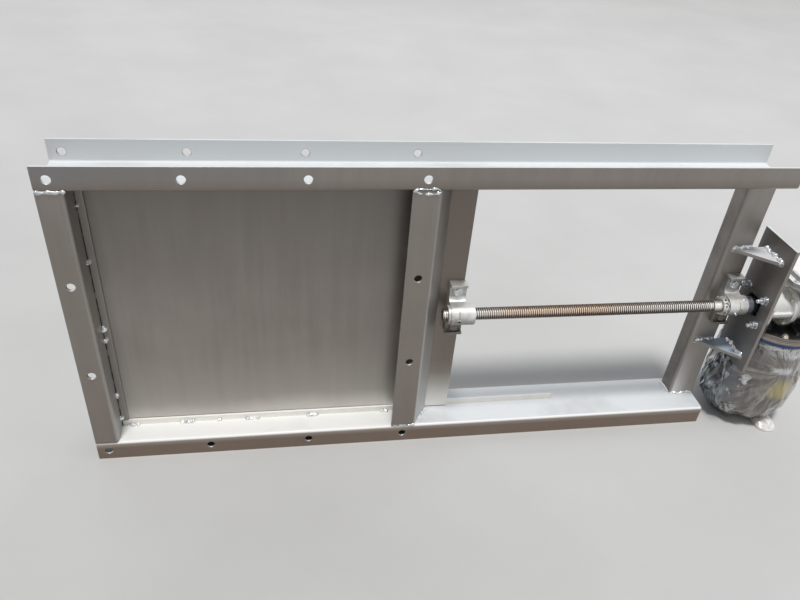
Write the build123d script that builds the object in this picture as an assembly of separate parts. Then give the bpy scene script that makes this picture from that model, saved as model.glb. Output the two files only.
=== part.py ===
# Slide gate valve for a square duct, driven by a trapezoidal screw.
# Frame: origin at the centre of the front flange's bolt pattern, in the front flange's face.
# +X runs the way the gate opens, +Y through the duct from front to rear, +Z up. Millimetres.
from build123d import *
import math
import os

# How far a cutter passes the faces it cuts, and the slack when an edge is looked up by its place
overcut = 1.0
tolerance = 0.01

# Duct flanges
opening = 630.0
flange_width = 50.0
hole_edge = 25.0
hole_diameter = 18.0
hole_spaces = 3
face_to_face = 125.0
sheet = 5.0
bend_radius = 4.0
frame_length = 1500.0
corner_radius = 1.5

# Crossbar at the right side of the duct
crossbar_face = 56.0
crossbar_slant = 32.0
notch_gap = 1.0

# Gate and its guides
gate_thickness = 5.0
gate_tail = 120.0
gate_side_clearance = 3.0
guide_clearance = 1.0
guide_height = 15.0
guide_thickness = 5.0
rear_guide_reach = 400.0

# End column
column_width = 65.0
column_depth = 50.0

# Screw and its journal
screw_radius = 14.0
screw_free_end = 10.0
thread_runout = 5.0
journal_radius = 12.5
screw_collar_radius = 16.0
screw_collar_length = 21.0
screw_neck_length = 6.0
running_clearance = 0.05

# Housings of the nut and of the bearing
housing_center_height = 36.5
housing_length = 134.0
housing_bolt_spacing = 96.0
housing_foot_width = 38.0
housing_foot_thickness = 15.0
housing_lip_height = 9.0
housing_lip_width = 6.0
barrel_radius = 24.0
nut_barrel_length = 54.0
bearing_barrel_length = 47.0
housing_flank_radius = 12.0
bush_radius = 18.0
nut_inset = 35.0
nut_flange_radius = 22.0
nut_flange_width = 6.0

# Foot bolts
bolt_radius = 6.0
bolt_hole_clearance = 0.5
bolt_head_radius = 10.4
bolt_head_height = 7.5
bolt_nut_height = 10.0
bolt_end_length = 3.0

# Slotted lock nut and tab washer
lock_nut_radius = 21.0
lock_nut_width = 12.0
lock_nut_slot = 6.0
lock_nut_slots = 4
tab_washer_radius = 23.0
tab_washer_thickness = 2.0
end_play = 1.0

# Plate that carries the actuator, and its gussets
column_to_plate = 35.0
plate_thickness = 8.0
plate_width = 118.0
plate_above_axis = 182.0
plate_below_axis = 165.0
plate_hole = 50.0
plate_hole_chamfer = 9.0
gusset_offset = 135.0
gusset_thickness = 8.0
gusset_front_reach = 76.0
gusset_column_lap = 54.0

# Coupling sleeve between screw and actuator
sleeve_radius = 21.0
sleeve_length = 51.0
sleeve_gap = 1.0

# Actuator base, studs and neck
base_flange_size = 104.0
base_flange_corner = 10.0
base_flange_thickness = 12.0
base_flange_shoulder = 19.5
base_flange_step = 8.0
stud_spacing = 70.0
stud_radius = 5.0
stud_length = 23.0
stud_nut_height = 8.5
stud_nut_radius = 9.2
stud_washer_radius = 10.2
stud_washer_thickness = 2.5
neck_radius = 39.0
neck_length = 61.0
neck_rim_radius = 51.0
neck_rim_width = 6.0
neck_rib_thickness = 7.0
neck_rib_reach = 48.0
rim_bolt_circle = 45.0
rim_bolt_radius = 3.0
rim_bolt_head_radius = 5.6
rim_bolt_head_height = 4.5

# Gear case
case_barrel_radius = 39.0
turret_radius = 46.0
cover_size = 150.0
cover_chamfer = 44.0
cover_thickness = 10.0
case_top_height = 72.0
case_top_thickness = 6.0
case_top_inset = 3.0
cap_size = 122.0
cap_chamfer = 36.0
cap_height = 14.0
cap_bevel = 3.0
cover_bolt_count = 8
cover_bolt_circle = 72.0
cover_bolt_radius = 3.0
cover_bolt_head_radius = 5.0
cover_bolt_head_height = 4.0
end_cap_thickness = 8.0
end_cap_boss_radius = 24.0
end_cap_boss_height = 10.0
pedestal_radius = 50.0
pedestal_height = 13.0
worm_tube_radius = 27.0
worm_tube_top = 34.0

# Drum hung under the gear case
drum_axis_offset = 113.0
drum_setback = 42.5
drum_flange_top = 65.0
drum_flange_radius = 108.0
drum_flange_thickness = 9.0
drum_rib_count = 8
drum_rib_thickness = 6.0
drum_rib_height = 12.0
drum_rib_tip_height = 4.0
rib_root = 2.0
drum_rib_reach = 86.0
drum_bolt_circle = 99.0
drum_bolt_radius = 4.0
drum_bolt_head_radius = 7.0
drum_bolt_head_height = 5.5
collar_thickness = 9.0
collar_inset = 0.5

# Drum wrapped in film
wrap_top_radius = 103.0
wrap_plate_clearance = 6.0
wrap_bulge_radius = 113.0
wrap_bulge_height = 100.0
wrap_foot_radius = 78.0
wrap_floor_gap = 8.0
film_tail_offset = 26.0
film_tail_length = 56.0
film_tail_width = 60.0
film_tail_height = 24.0
film_tail_lift = 1.0
film_tail_edge = 2.0

# Places worked out from the sizes above
half_opening = opening / 2
bolt_line = half_opening + hole_edge
hole_pitch = 2 * bolt_line / hole_spaces
outer_edge = half_opening + flange_width
left_end = -outer_edge
right_end = left_end + frame_length
mid_depth = face_to_face / 2
gate_front = mid_depth - gate_thickness / 2
gate_rear = mid_depth + gate_thickness / 2
axis_y = gate_front - housing_center_height
gate_left = -half_opening + gate_side_clearance
gate_half_height = half_opening - gate_side_clearance
crossbar_left = bolt_line - crossbar_face / 2
crossbar_right = bolt_line + crossbar_face / 2
web_depth = gate_front - guide_clearance
crossbar_tip = crossbar_right + web_depth * math.tan(math.radians(crossbar_slant))
gate_right = bolt_line + gate_tail
column_left = right_end - column_width
nut_housing_start = gate_right - nut_inset
nut_housing_end = nut_housing_start + nut_barrel_length
nut_flange_start = nut_housing_start - nut_flange_width
screw_start = nut_flange_start - screw_free_end
bearing_start = right_end - housing_foot_width
bearing_end = bearing_start + bearing_barrel_length
washer_start = bearing_start - end_play - tab_washer_thickness
lock_nut_start = washer_start - lock_nut_width
screw_collar_start = lock_nut_start - screw_collar_length
thread_end = screw_collar_start - screw_neck_length
gate_travel = thread_end - thread_runout - nut_housing_end
sleeve_start = bearing_end + sleeve_gap
sleeve_end = sleeve_start + sleeve_length
plate_left = right_end + column_to_plate
plate_right = plate_left + plate_thickness
neck_start = plate_right + base_flange_thickness
rim_start = neck_start + neck_length - neck_rim_width
case_start = neck_start + neck_length
turret_x = case_start + neck_rim_width / 2 + turret_radius
case_end = turret_x + turret_radius + neck_rim_width / 2
cover_top = case_top_height + cover_thickness
drum_x = plate_right + drum_axis_offset
drum_y = axis_y + drum_setback
drum_flange_under = -drum_flange_top - drum_flange_thickness
collar_top = drum_flange_under - drum_flange_thickness
wrap_top = collar_top - collar_thickness
floor_z = -outer_edge


def write_node(name, *solids):
    """Write one node, made of one or more solids that don't touch."""
    shape = solids[0] if len(solids) == 1 else Compound(children=list(solids))
    export_step(shape, f"parts/{name}.step")


def block(x0, x1, y0, y1, z0, z1):
    """A plain box between two corners."""
    return Pos((x0 + x1) / 2, (y0 + y1) / 2, (z0 + z1) / 2) * Box(x1 - x0, y1 - y0, z1 - z0)


def rod_x(x0, x1, radius, y=axis_y, z=0.0):
    """A cylinder along X between two stations."""
    return Pos((x0 + x1) / 2, y, z) * Rot(0, 90, 0) * Cylinder(radius, x1 - x0)


def rod_y(x, z, y0, y1, radius):
    """A cylinder along Y between two depths."""
    return Pos(x, (y0 + y1) / 2, z) * Rot(90, 0, 0) * Cylinder(radius, y1 - y0)


def rod_z(x, y, z0, z1, radius):
    """A cylinder along Z between two heights."""
    return Pos(x, y, (z0 + z1) / 2) * Cylinder(radius, z1 - z0)


def hexagon_prism(plane, radius, height):
    """A hexagonal nut or bolt head that stands on a plane."""
    return extrude(plane * RegularPolygon(radius, 6), height)


def bent_sheet(points, thickness, inner_radius):
    """Section of a folded sheet: its outer face follows the points, the metal lies on their left."""
    path = [Vector(*point) for point in points]
    normals = []
    for start, end in zip(path, path[1:]):
        run = (end - start).normalized()
        normals.append(Vector(-run.Y, run.X))
    inner = [path[0] + normals[0] * thickness]
    for corner, before, after in zip(path[1:], normals, normals[1:]):
        inner.append(corner + (before + after) * (thickness / (1 + before.dot(after))))
    inner.append(path[-1] + normals[-1] * thickness)
    section = make_face(Polyline(*path, *reversed(inner), close=True))
    for corners, radius in ((path[1:-1], inner_radius + thickness), (inner[1:-1], inner_radius)):
        for corner in corners:
            nearest = section.vertices().sort_by_distance(corner)[0]
            section = fillet(nearest, radius)
    return section


def channel(width, flange):
    """Section of a folded U with its web on the local X axis and its flanges standing up."""
    return bent_sheet([(0, flange), (0, 0), (width, 0), (width, flange)], sheet, bend_radius)


# Rails and posts

def bolt_stations():
    """Positions of the bolt holes along one side of the square."""
    return [-bolt_line + hole_pitch * i for i in range(hole_spaces + 1)]


def drill_flanges(solid, centers):
    """Cut the bolt holes through both flanges at the given centres."""
    for x, z in centers:
        solid -= rod_y(x, z, -overcut, face_to_face + overcut, hole_diameter / 2)
    return solid


def make_top_rail():
    section = Plane.YZ.offset(left_end) * Pos(0, half_opening) * channel(face_to_face, flange_width)
    rail = extrude(section, frame_length)
    corners = rail.edges().filter_by(Axis.Y).filter_by(lambda e: abs(e.center().Z - outer_edge) < tolerance)
    rail = fillet(corners, corner_radius)
    return drill_flanges(rail, [(x, bolt_line) for x in bolt_stations()])


def make_left_rail():
    section = Plane.XY.offset(-half_opening) * Pos(-half_opening, 0) * Rot(0, 0, 90)
    section = section * channel(face_to_face, flange_width)
    rail = extrude(section, opening)
    return drill_flanges(rail, [(-bolt_line, z) for z in bolt_stations()[1:-1]])


def make_end_column():
    section = Plane.XY.offset(-half_opening) * Pos(column_left, gate_front + column_depth) * Rot(0, 0, -90)
    column = extrude(section * channel(column_depth, column_width), opening)
    for z in (-housing_bolt_spacing / 2, housing_bolt_spacing / 2):
        column -= rod_y(
            bearing_start + housing_foot_width / 2, z,
            gate_front - overcut, gate_front + sheet + overcut, bolt_radius + bolt_hole_clearance,
        )
    return column


def make_crossbar(guide_notch):
    """A folded bar: a bolted face and a slanting web that reaches the gate."""
    outline = [(crossbar_tip, web_depth), (crossbar_right, 0), (crossbar_left, 0)]
    section = bent_sheet(list(reversed(outline)), sheet, bend_radius)
    bar = extrude(Plane.XY.offset(-half_opening) * section, opening)
    bar -= block(crossbar_left, crossbar_tip + sheet, web_depth, face_to_face, -half_opening, half_opening)
    if guide_notch:
        notch_depth = web_depth - guide_thickness - notch_gap
        notch_height = half_opening - guide_height - notch_gap
        for z0, z1 in ((-half_opening - overcut, -notch_height), (notch_height, half_opening + overcut)):
            bar -= block(crossbar_left, crossbar_tip + sheet, notch_depth, web_depth + overcut, z0, z1)
    for z in bolt_stations()[1:-1]:
        bar -= rod_y(bolt_line, z, -overcut, sheet + overcut, hole_diameter / 2)
    return bar


# Guides and gate

def make_front_guides():
    y0 = gate_front - guide_clearance - guide_thickness
    y1 = gate_front - guide_clearance
    left = block(
        -half_opening, -half_opening + guide_height, y0, y1,
        -half_opening + guide_height, half_opening - guide_height,
    )
    bottom = block(-half_opening, crossbar_right, y0, y1, -half_opening, -half_opening + guide_height)
    return left, bottom, mirror(bottom, about=Plane.XY)


def make_rear_guides():
    y0 = gate_rear + guide_clearance
    y1 = y0 + guide_thickness
    left = block(
        -half_opening, -half_opening + guide_height, y0, y1,
        -half_opening + guide_height, half_opening - guide_height,
    )
    bottom = block(
        -half_opening, bolt_line + rear_guide_reach, y0, y1, -half_opening, -half_opening + guide_height,
    )
    return left, bottom, mirror(bottom, about=Plane.XY)


def make_gate_plate():
    plate = block(gate_left, gate_right, gate_front, gate_rear, -gate_half_height, gate_half_height)
    for z in (-housing_bolt_spacing / 2, housing_bolt_spacing / 2):
        plate -= rod_y(
            nut_housing_start + housing_foot_width / 2, z,
            gate_front - overcut, gate_rear + overcut, bolt_radius + bolt_hole_clearance,
        )
    return plate


# Housings, screw and their fastenings

def make_housing(start, barrel_length):
    """A cast housing: a round barrel on a two-bolt foot, whose ends stand up as lips past the bolts."""
    foot_face = gate_front - housing_foot_thickness
    half_length = housing_length / 2
    foot = Pos((foot_face + gate_front) / 2, 0) * Rectangle(housing_foot_thickness, housing_length)
    body = Pos((axis_y + gate_front) / 2, 0) * Rectangle(housing_center_height, 2 * barrel_radius)
    section = foot + body
    roots = section.vertices().filter_by(
        lambda v: abs(v.X - foot_face) < tolerance and abs(abs(v.Y) - barrel_radius) < tolerance
    )
    section = fillet(roots, housing_flank_radius)
    for side in (-1, 1):
        lip = Rectangle(housing_lip_height, housing_lip_width)
        section += Pos(foot_face - housing_lip_height / 2, side * (half_length - housing_lip_width / 2)) * lip
    section += Pos(axis_y, 0) * Circle(barrel_radius)
    casting = extrude(Plane.YZ.offset(start) * section, housing_foot_width)
    casting += rod_x(start, start + barrel_length, barrel_radius)
    casting -= rod_x(start - overcut, start + barrel_length + overcut, bush_radius)
    for z in (-housing_bolt_spacing / 2, housing_bolt_spacing / 2):
        casting -= rod_y(
            start + housing_foot_width / 2, z,
            foot_face - overcut, gate_front + overcut, bolt_radius + bolt_hole_clearance,
        )
    return casting


def make_foot_bolts(start, plate_back):
    """Two hexagon bolts through a housing's foot, with nuts behind the plate."""
    bolts = []
    head_face = gate_front - housing_foot_thickness
    x = start + housing_foot_width / 2
    for z in (-housing_bolt_spacing / 2, housing_bolt_spacing / 2):
        head = hexagon_prism(Plane((x, head_face, z), z_dir=(0, -1, 0)), bolt_head_radius, bolt_head_height)
        nut = hexagon_prism(Plane((x, plate_back, z), z_dir=(0, 1, 0)), bolt_head_radius, bolt_nut_height)
        bolt_end = plate_back + bolt_nut_height + bolt_end_length
        shank = rod_y(x, z, head_face - bolt_head_height / 2, bolt_end, bolt_radius)
        bolts.append(head + shank + nut)
    return bolts


def make_drive_nut():
    nut = rod_x(nut_flange_start, nut_housing_start, nut_flange_radius)
    nut += rod_x(nut_housing_start, nut_housing_end, bush_radius)
    bore = screw_radius + running_clearance
    return nut - rod_x(nut_flange_start - overcut, nut_housing_end + overcut, bore)


def make_bearing_bush():
    bush = rod_x(bearing_start, bearing_end, bush_radius)
    bore = journal_radius + running_clearance
    return bush - rod_x(bearing_start - overcut, bearing_end + overcut, bore)


def make_screw():
    screw = rod_x(screw_start, thread_end, screw_radius)
    screw += rod_x(thread_end, sleeve_end, journal_radius)
    screw += rod_x(screw_collar_start, lock_nut_start, screw_collar_radius)
    return screw


def make_lock_nut():
    nut = rod_x(lock_nut_start, washer_start, lock_nut_radius)
    nut -= rod_x(lock_nut_start - overcut, washer_start + overcut, journal_radius)
    slot_depth = lock_nut_slot / 2
    for i in range(lock_nut_slots):
        slot = block(
            lock_nut_start - overcut, washer_start + overcut, -lock_nut_slot / 2, lock_nut_slot / 2,
            lock_nut_radius - slot_depth, lock_nut_radius + slot_depth,
        )
        nut -= Pos(0, axis_y, 0) * Rot(360 * (i + 0.5) / lock_nut_slots, 0, 0) * slot
    return nut


def make_tab_washer():
    washer_end = washer_start + tab_washer_thickness
    washer = rod_x(washer_start, washer_end, tab_washer_radius)
    return washer - rod_x(washer_start - overcut, washer_end + overcut, journal_radius)


def make_coupling_sleeve():
    sleeve = rod_x(sleeve_start, sleeve_end, sleeve_radius)
    return sleeve - rod_x(sleeve_start - overcut, sleeve_end + overcut, journal_radius)


# Plate and gussets

def make_mount_plate():
    half_width = plate_width / 2
    plate = block(
        plate_left, plate_right, axis_y - half_width, axis_y + half_width,
        -plate_below_axis, plate_above_axis,
    )
    hole = chamfer(Rectangle(plate_hole, plate_hole).vertices(), plate_hole_chamfer)
    hole_plane = Plane.YZ.offset(plate_left - overcut) * Pos(axis_y, 0)
    plate -= extrude(hole_plane * hole, plate_thickness + 2 * overcut)
    for y, z in stud_centers():
        plate -= rod_x(plate_left - overcut, plate_right + overcut, stud_radius + bolt_hole_clearance, y, z)
    return plate


def make_gusset(z):
    outline = Polyline(
        (right_end - gusset_column_lap, gate_front),
        (plate_left, gate_front),
        (plate_left, gate_front - gusset_front_reach),
        close=True,
    )
    return extrude(Plane.XY.offset(z - gusset_thickness / 2) * make_face(outline), gusset_thickness)


# Actuator

def stud_centers():
    """Centres of the four studs, as Y and Z."""
    half = stud_spacing / 2
    return [(axis_y + sy * half, sz * half) for sy in (-1, 1) for sz in (-1, 1)]


def make_base_flange():
    """A square flange whose sides step in above a shoulder."""
    half = base_flange_size / 2
    face = Rectangle(base_flange_size, base_flange_size)
    face = fillet(face.vertices(), base_flange_corner)
    for side in (-1, 1):
        notch = Rectangle(2 * base_flange_step, base_flange_size)
        face -= Pos(side * half, half + base_flange_shoulder) * notch
    flange = extrude(Plane.YZ.offset(plate_right) * Pos(axis_y, 0) * face, base_flange_thickness)
    flange -= rod_x(plate_right - overcut, neck_start + overcut, sleeve_radius + sleeve_gap)
    for y, z in stud_centers():
        flange -= rod_x(plate_right - overcut, neck_start + overcut, stud_radius, y, z)
    return flange


def make_studs():
    return [rod_x(plate_left - stud_length, neck_start, stud_radius, y, z) for y, z in stud_centers()]


def make_stud_nuts():
    nuts = []
    washer_face = plate_left - stud_washer_thickness
    for y, z in stud_centers():
        nut = rod_x(washer_face, plate_left, stud_washer_radius, y, z)
        nut += hexagon_prism(Plane((washer_face, y, z), z_dir=(-1, 0, 0)), stud_nut_radius, stud_nut_height)
        nuts.append(nut - rod_x(plate_left - stud_length, plate_left + overcut, stud_radius, y, z))
    return nuts


def rim_bolt_centers():
    """Centres of the four bolts round the rim, as Y and Z."""
    step = rim_bolt_circle / math.sqrt(2)
    return [(axis_y + sy * step, sz * step) for sy in (-1, 1) for sz in (-1, 1)]


def make_neck():
    """A ribbed tube with a bolted rim."""
    neck = rod_x(neck_start, case_start, neck_radius)
    neck += rod_x(rim_start, case_start, neck_rim_radius)
    half = neck_rib_thickness / 2
    neck += block(neck_start, rim_start, axis_y - neck_rib_reach, axis_y + neck_rib_reach, -half, half)
    neck += block(neck_start, rim_start, axis_y - half, axis_y + half, -neck_rib_reach, neck_rib_reach)
    neck -= rod_x(neck_start - overcut, sleeve_end + sleeve_gap, sleeve_radius + sleeve_gap)
    for y, z in rim_bolt_centers():
        neck -= rod_x(rim_start - overcut, case_start + overcut, rim_bolt_radius, y, z)
    return neck


def make_rim_bolts():
    bolts = []
    nut_face = case_start + neck_rim_width
    for y, z in rim_bolt_centers():
        bolt = rod_x(rim_start, nut_face, rim_bolt_radius, y, z)
        for face, way in ((rim_start, -1), (nut_face, 1)):
            plane = Plane((face, y, z), z_dir=(way, 0, 0))
            bolt += hexagon_prism(plane, rim_bolt_head_radius, rim_bolt_head_height)
        bolts.append(bolt)
    return bolts


def octagon(size, corner_cut):
    """A square with its corners cut off."""
    return chamfer(Rectangle(size, size).vertices(), corner_cut)


def cover_bolt_centers():
    """Centres of the cover's screws, one near each corner of the octagon."""
    angles = [2 * math.pi * (i + 0.5) / cover_bolt_count for i in range(cover_bolt_count)]
    return [
        (turret_x + cover_bolt_circle * math.cos(a), axis_y + cover_bolt_circle * math.sin(a)) for a in angles
    ]


def drum_bolt_centers():
    """Centres of the drum flange's bolts, halfway between its ribs."""
    angles = [2 * math.pi * (i + 0.5) / drum_rib_count for i in range(drum_rib_count)]
    return [
        (drum_x + drum_bolt_circle * math.cos(a), drum_y + drum_bolt_circle * math.sin(a)) for a in angles
    ]


def make_gear_case():
    """A casting: barrel along the shaft, turret above, worm tube beside it and ribbed pedestal below."""
    case = rod_x(case_start, case_end, case_barrel_radius)
    for x0 in (case_start, case_end - neck_rim_width):
        case += rod_x(x0, x0 + neck_rim_width, neck_rim_radius)
    case += rod_z(turret_x, axis_y, 0, case_top_height, turret_radius)
    top = octagon(cover_size - 2 * case_top_inset, cover_chamfer - case_top_inset)
    top_under = case_top_height - case_top_thickness
    case += extrude(Plane.XY.offset(top_under) * Pos(turret_x, axis_y) * top, case_top_thickness)
    pedestal_top = pedestal_height - drum_flange_top
    pedestal_outline = Polyline(
        (0, drum_flange_under), (drum_flange_radius, drum_flange_under),
        (drum_flange_radius, -drum_flange_top), (pedestal_radius, -drum_flange_top),
        (pedestal_radius, pedestal_top), (worm_tube_radius, pedestal_top),
        (worm_tube_radius, worm_tube_top), (0, worm_tube_top),
        close=True,
    )
    case += Pos(drum_x, drum_y, 0) * revolve(Plane.XZ * make_face(pedestal_outline), Axis.Z)
    rib_under = -drum_flange_top - rib_root
    rib_outline = Polyline(
        (pedestal_radius - rib_root, rib_under),
        (drum_rib_reach, rib_under),
        (drum_rib_reach, drum_rib_tip_height - drum_flange_top),
        (pedestal_radius - rib_root, drum_rib_height - drum_flange_top),
        close=True,
    )
    rib = extrude(Plane.XZ * make_face(rib_outline), drum_rib_thickness / 2, both=True)
    for i in range(drum_rib_count):
        case += Pos(drum_x, drum_y, 0) * Rot(0, 0, 360 * i / drum_rib_count) * rib
    for y, z in rim_bolt_centers():
        for x0 in (case_start, case_end - neck_rim_width):
            case -= rod_x(x0 - overcut, x0 + neck_rim_width + overcut, rim_bolt_radius, y, z)
    for x, y in cover_bolt_centers():
        case -= rod_z(x, y, top_under - overcut, case_top_height + overcut, cover_bolt_radius)
    for x, y in drum_bolt_centers():
        case -= rod_z(x, y, drum_flange_under - overcut, overcut - drum_flange_top, drum_bolt_radius)
    return case


def make_end_cap():
    """The cover opposite the neck."""
    cap = rod_x(case_end, case_end + end_cap_thickness, neck_rim_radius)
    boss_end = case_end + end_cap_thickness + end_cap_boss_height
    cap += rod_x(case_end + end_cap_thickness, boss_end, end_cap_boss_radius)
    for y, z in rim_bolt_centers():
        cap -= rod_x(case_end - overcut, case_end + end_cap_thickness + overcut, rim_bolt_radius, y, z)
    return cap


def make_end_cap_bolts():
    bolts = []
    head_face = case_end + end_cap_thickness
    for y, z in rim_bolt_centers():
        bolt = rod_x(case_end - neck_rim_width, head_face, rim_bolt_radius, y, z)
        plane = Plane((head_face, y, z), z_dir=(1, 0, 0))
        bolt += hexagon_prism(plane, rim_bolt_head_radius, rim_bolt_head_height)
        bolts.append(bolt)
    return bolts


def make_gear_cover():
    plate = Plane.XY.offset(case_top_height) * Pos(turret_x, axis_y) * octagon(cover_size, cover_chamfer)
    cover = extrude(plate, cover_thickness)
    cap_outline = Plane.XY.offset(cover_top) * Pos(turret_x, axis_y) * octagon(cap_size, cap_chamfer)
    raised = extrude(cap_outline, cap_height)
    cover += chamfer(raised.faces().sort_by(Axis.Z)[-1].edges(), cap_bevel)
    for x, y in cover_bolt_centers():
        cover -= rod_z(x, y, case_top_height - overcut, cover_top + overcut, cover_bolt_radius)
    return cover


def make_cover_bolts():
    bolts = []
    for x, y in cover_bolt_centers():
        head = rod_z(x, y, cover_top, cover_top + cover_bolt_head_height, cover_bolt_head_radius)
        bolts.append(head + rod_z(x, y, case_top_height - case_top_thickness, cover_top, cover_bolt_radius))
    return bolts


def make_drum_flange():
    flange = rod_z(drum_x, drum_y, collar_top, drum_flange_under, drum_flange_radius)
    for x, y in drum_bolt_centers():
        flange -= rod_z(x, y, collar_top - overcut, drum_flange_under + overcut, drum_bolt_radius)
    return flange


def make_drum_flange_bolts():
    bolts = []
    for x, y in drum_bolt_centers():
        bolt = rod_z(x, y, collar_top, -drum_flange_top, drum_bolt_radius)
        bolt += hexagon_prism(Plane((x, y, -drum_flange_top)), drum_bolt_head_radius, drum_bolt_head_height)
        bolts.append(bolt)
    return bolts


def make_drum_collar():
    return rod_z(drum_x, drum_y, wrap_top, collar_top, drum_flange_radius - collar_inset)


def make_wrapped_drum():
    foot = floor_z + wrap_floor_gap
    bulge = floor_z + wrap_bulge_height
    beside_plate = drum_axis_offset - wrap_plate_clearance
    side = Spline(
        (wrap_top_radius, wrap_top), (beside_plate, -plate_below_axis), (wrap_bulge_radius, bulge),
        (wrap_foot_radius, foot),
    )
    outline = [side, Line(side @ 1, (0, foot)), Line((0, foot), (0, wrap_top)), Line((0, wrap_top), side @ 0)]
    profile = make_face(Curve() + outline)
    return Pos(drum_x, drum_y, 0) * revolve(Plane.XZ * profile, Axis.Z)


def make_film_tail():
    """The loose corner of the film bag that lies on the floor in front of the drum."""
    y_back = drum_y - wrap_foot_radius + film_tail_length / 4
    y_tip = y_back - film_tail_length
    tip_under = floor_z + film_tail_lift
    outline = Polyline(
        (y_back, floor_z + wrap_floor_gap),
        (y_tip, tip_under),
        (y_tip, tip_under + film_tail_edge),
        (y_back, floor_z + film_tail_height),
        close=True,
    )
    x_left = drum_x + film_tail_offset - film_tail_width / 2
    tail = extrude(Plane.YZ.offset(x_left) * make_face(outline), film_tail_width)
    return tail - make_wrapped_drum()


def main():
    os.makedirs("parts", exist_ok=True)
    top_rail = make_top_rail()
    write_node("top_rail", top_rail)
    write_node("bottom_rail", mirror(top_rail, about=Plane.XY))
    write_node("left_rail", make_left_rail())
    write_node("end_column", make_end_column())
    write_node("front_crossbar", make_crossbar(guide_notch=False))
    write_node("rear_crossbar", mirror(make_crossbar(guide_notch=True), about=Plane.XZ.offset(-mid_depth)))
    for side, guides in (("front", make_front_guides()), ("rear", make_rear_guides())):
        for place, guide in zip(("left", "bottom", "top"), guides):
            write_node(f"{side}_{place}_guide", guide)
    write_node("gate_plate", make_gate_plate())
    write_node("nut_housing", make_housing(nut_housing_start, nut_barrel_length))
    write_node("nut_foot_bolts", *make_foot_bolts(nut_housing_start, gate_rear))
    write_node("drive_nut", make_drive_nut())
    write_node("bearing_housing", make_housing(bearing_start, bearing_barrel_length))
    write_node("bearing_foot_bolts", *make_foot_bolts(bearing_start, gate_front + sheet))
    write_node("bearing_bush", make_bearing_bush())
    write_node("drive_screw", make_screw())
    write_node("lock_nut", make_lock_nut())
    write_node("tab_washer", make_tab_washer())
    write_node("coupling_sleeve", make_coupling_sleeve())
    write_node("mount_plate", make_mount_plate())
    write_node("upper_gusset", make_gusset(gusset_offset))
    write_node("lower_gusset", make_gusset(-gusset_offset))
    write_node("actuator_base_flange", make_base_flange())
    write_node("mounting_studs", *make_studs())
    write_node("stud_nuts", *make_stud_nuts())
    write_node("actuator_neck", make_neck())
    write_node("neck_rim_bolts", *make_rim_bolts())
    write_node("gear_case", make_gear_case())
    write_node("gear_case_cover", make_gear_cover())
    write_node("cover_bolts", *make_cover_bolts())
    write_node("case_end_cap", make_end_cap())
    write_node("end_cap_bolts", *make_end_cap_bolts())
    write_node("drum_flange", make_drum_flange())
    write_node("drum_flange_bolts", *make_drum_flange_bolts())
    write_node("drum_collar", make_drum_collar())
    write_node("wrapped_drum", make_wrapped_drum())
    write_node("film_tail", make_film_tail())


main()
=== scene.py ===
import math

import bpy
import numpy as np
from mathutils import Matrix, Vector, noise


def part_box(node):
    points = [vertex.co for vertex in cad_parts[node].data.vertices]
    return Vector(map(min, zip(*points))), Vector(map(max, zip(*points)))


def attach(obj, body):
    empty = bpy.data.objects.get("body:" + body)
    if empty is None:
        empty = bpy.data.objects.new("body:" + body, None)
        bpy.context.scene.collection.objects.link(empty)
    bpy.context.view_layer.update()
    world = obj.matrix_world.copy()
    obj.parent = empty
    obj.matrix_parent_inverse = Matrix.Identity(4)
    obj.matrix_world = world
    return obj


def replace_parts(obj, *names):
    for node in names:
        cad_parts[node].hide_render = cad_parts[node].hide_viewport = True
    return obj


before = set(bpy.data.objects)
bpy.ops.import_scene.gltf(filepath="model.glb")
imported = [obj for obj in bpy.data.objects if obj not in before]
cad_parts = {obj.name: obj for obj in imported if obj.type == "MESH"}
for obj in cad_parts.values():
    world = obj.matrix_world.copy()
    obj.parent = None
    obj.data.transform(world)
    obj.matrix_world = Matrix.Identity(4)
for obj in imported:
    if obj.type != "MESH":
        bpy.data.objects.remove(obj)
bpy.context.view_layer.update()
MM = 0.001
TURN = 2 * math.pi
RIGHT, LEFT = (1, 0, 0), (-1, 0, 0)
FRONTWARD, REARWARD = (0, -1, 0), (0, 1, 0)
UP = (0, 0, 1)


def low(node):
    """Lowest corner of a node, in millimetres."""
    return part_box(node)[0] / MM


def high(node):
    """Highest corner of a node, in millimetres."""
    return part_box(node)[1] / MM


def ends(node, axis):
    """Lowest and highest of a node along one axis: 0 for X, 1 for Y, 2 for Z."""
    return low(node)[axis], high(node)[axis]


def middle_of(node):
    return (low(node) + high(node)) / 2


SHEET = 5
FRONT, REAR = ends("top_rail", 1)
FLOOR = low("bottom_rail").z
INNER = high("left_rail").z  # half of the clear square opening
GATE_FRONT, GATE_REAR = ends("gate_plate", 1)
COLUMN_LEFT, COLUMN_RIGHT = ends("end_column", 0)
PLATE_LEFT, PLATE_RIGHT = ends("mount_plate", 0)
SCREW_START, SCREW_END = ends("drive_screw", 0)
AXIS_Y = middle_of("drive_screw").y
AXIS = (0, AXIS_Y, 0)
HOUSING_RADIUS = 24
DRUM = middle_of("drum_flange")

# Camera, found from the flange holes of the photograph

CAMERA_PLACE = Vector((54.5, -1199, 925.9)) * MM
CAMERA_RIGHT = Vector((0.98548, -0.15288, 0.07387))
CAMERA_DOWN = Vector((-0.02912, -0.58083, -0.8135))
CAMERA_FORWARD = Vector((0.16727, 0.79954, -0.57685))
FOCAL_PIXELS = 709.03
FRAME_PIXELS = 800
SENSOR = 36


def add_object(name, data):
    """A new object in the scene."""
    obj = bpy.data.objects.new(name, data)
    bpy.context.scene.collection.objects.link(obj)
    return obj


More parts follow.
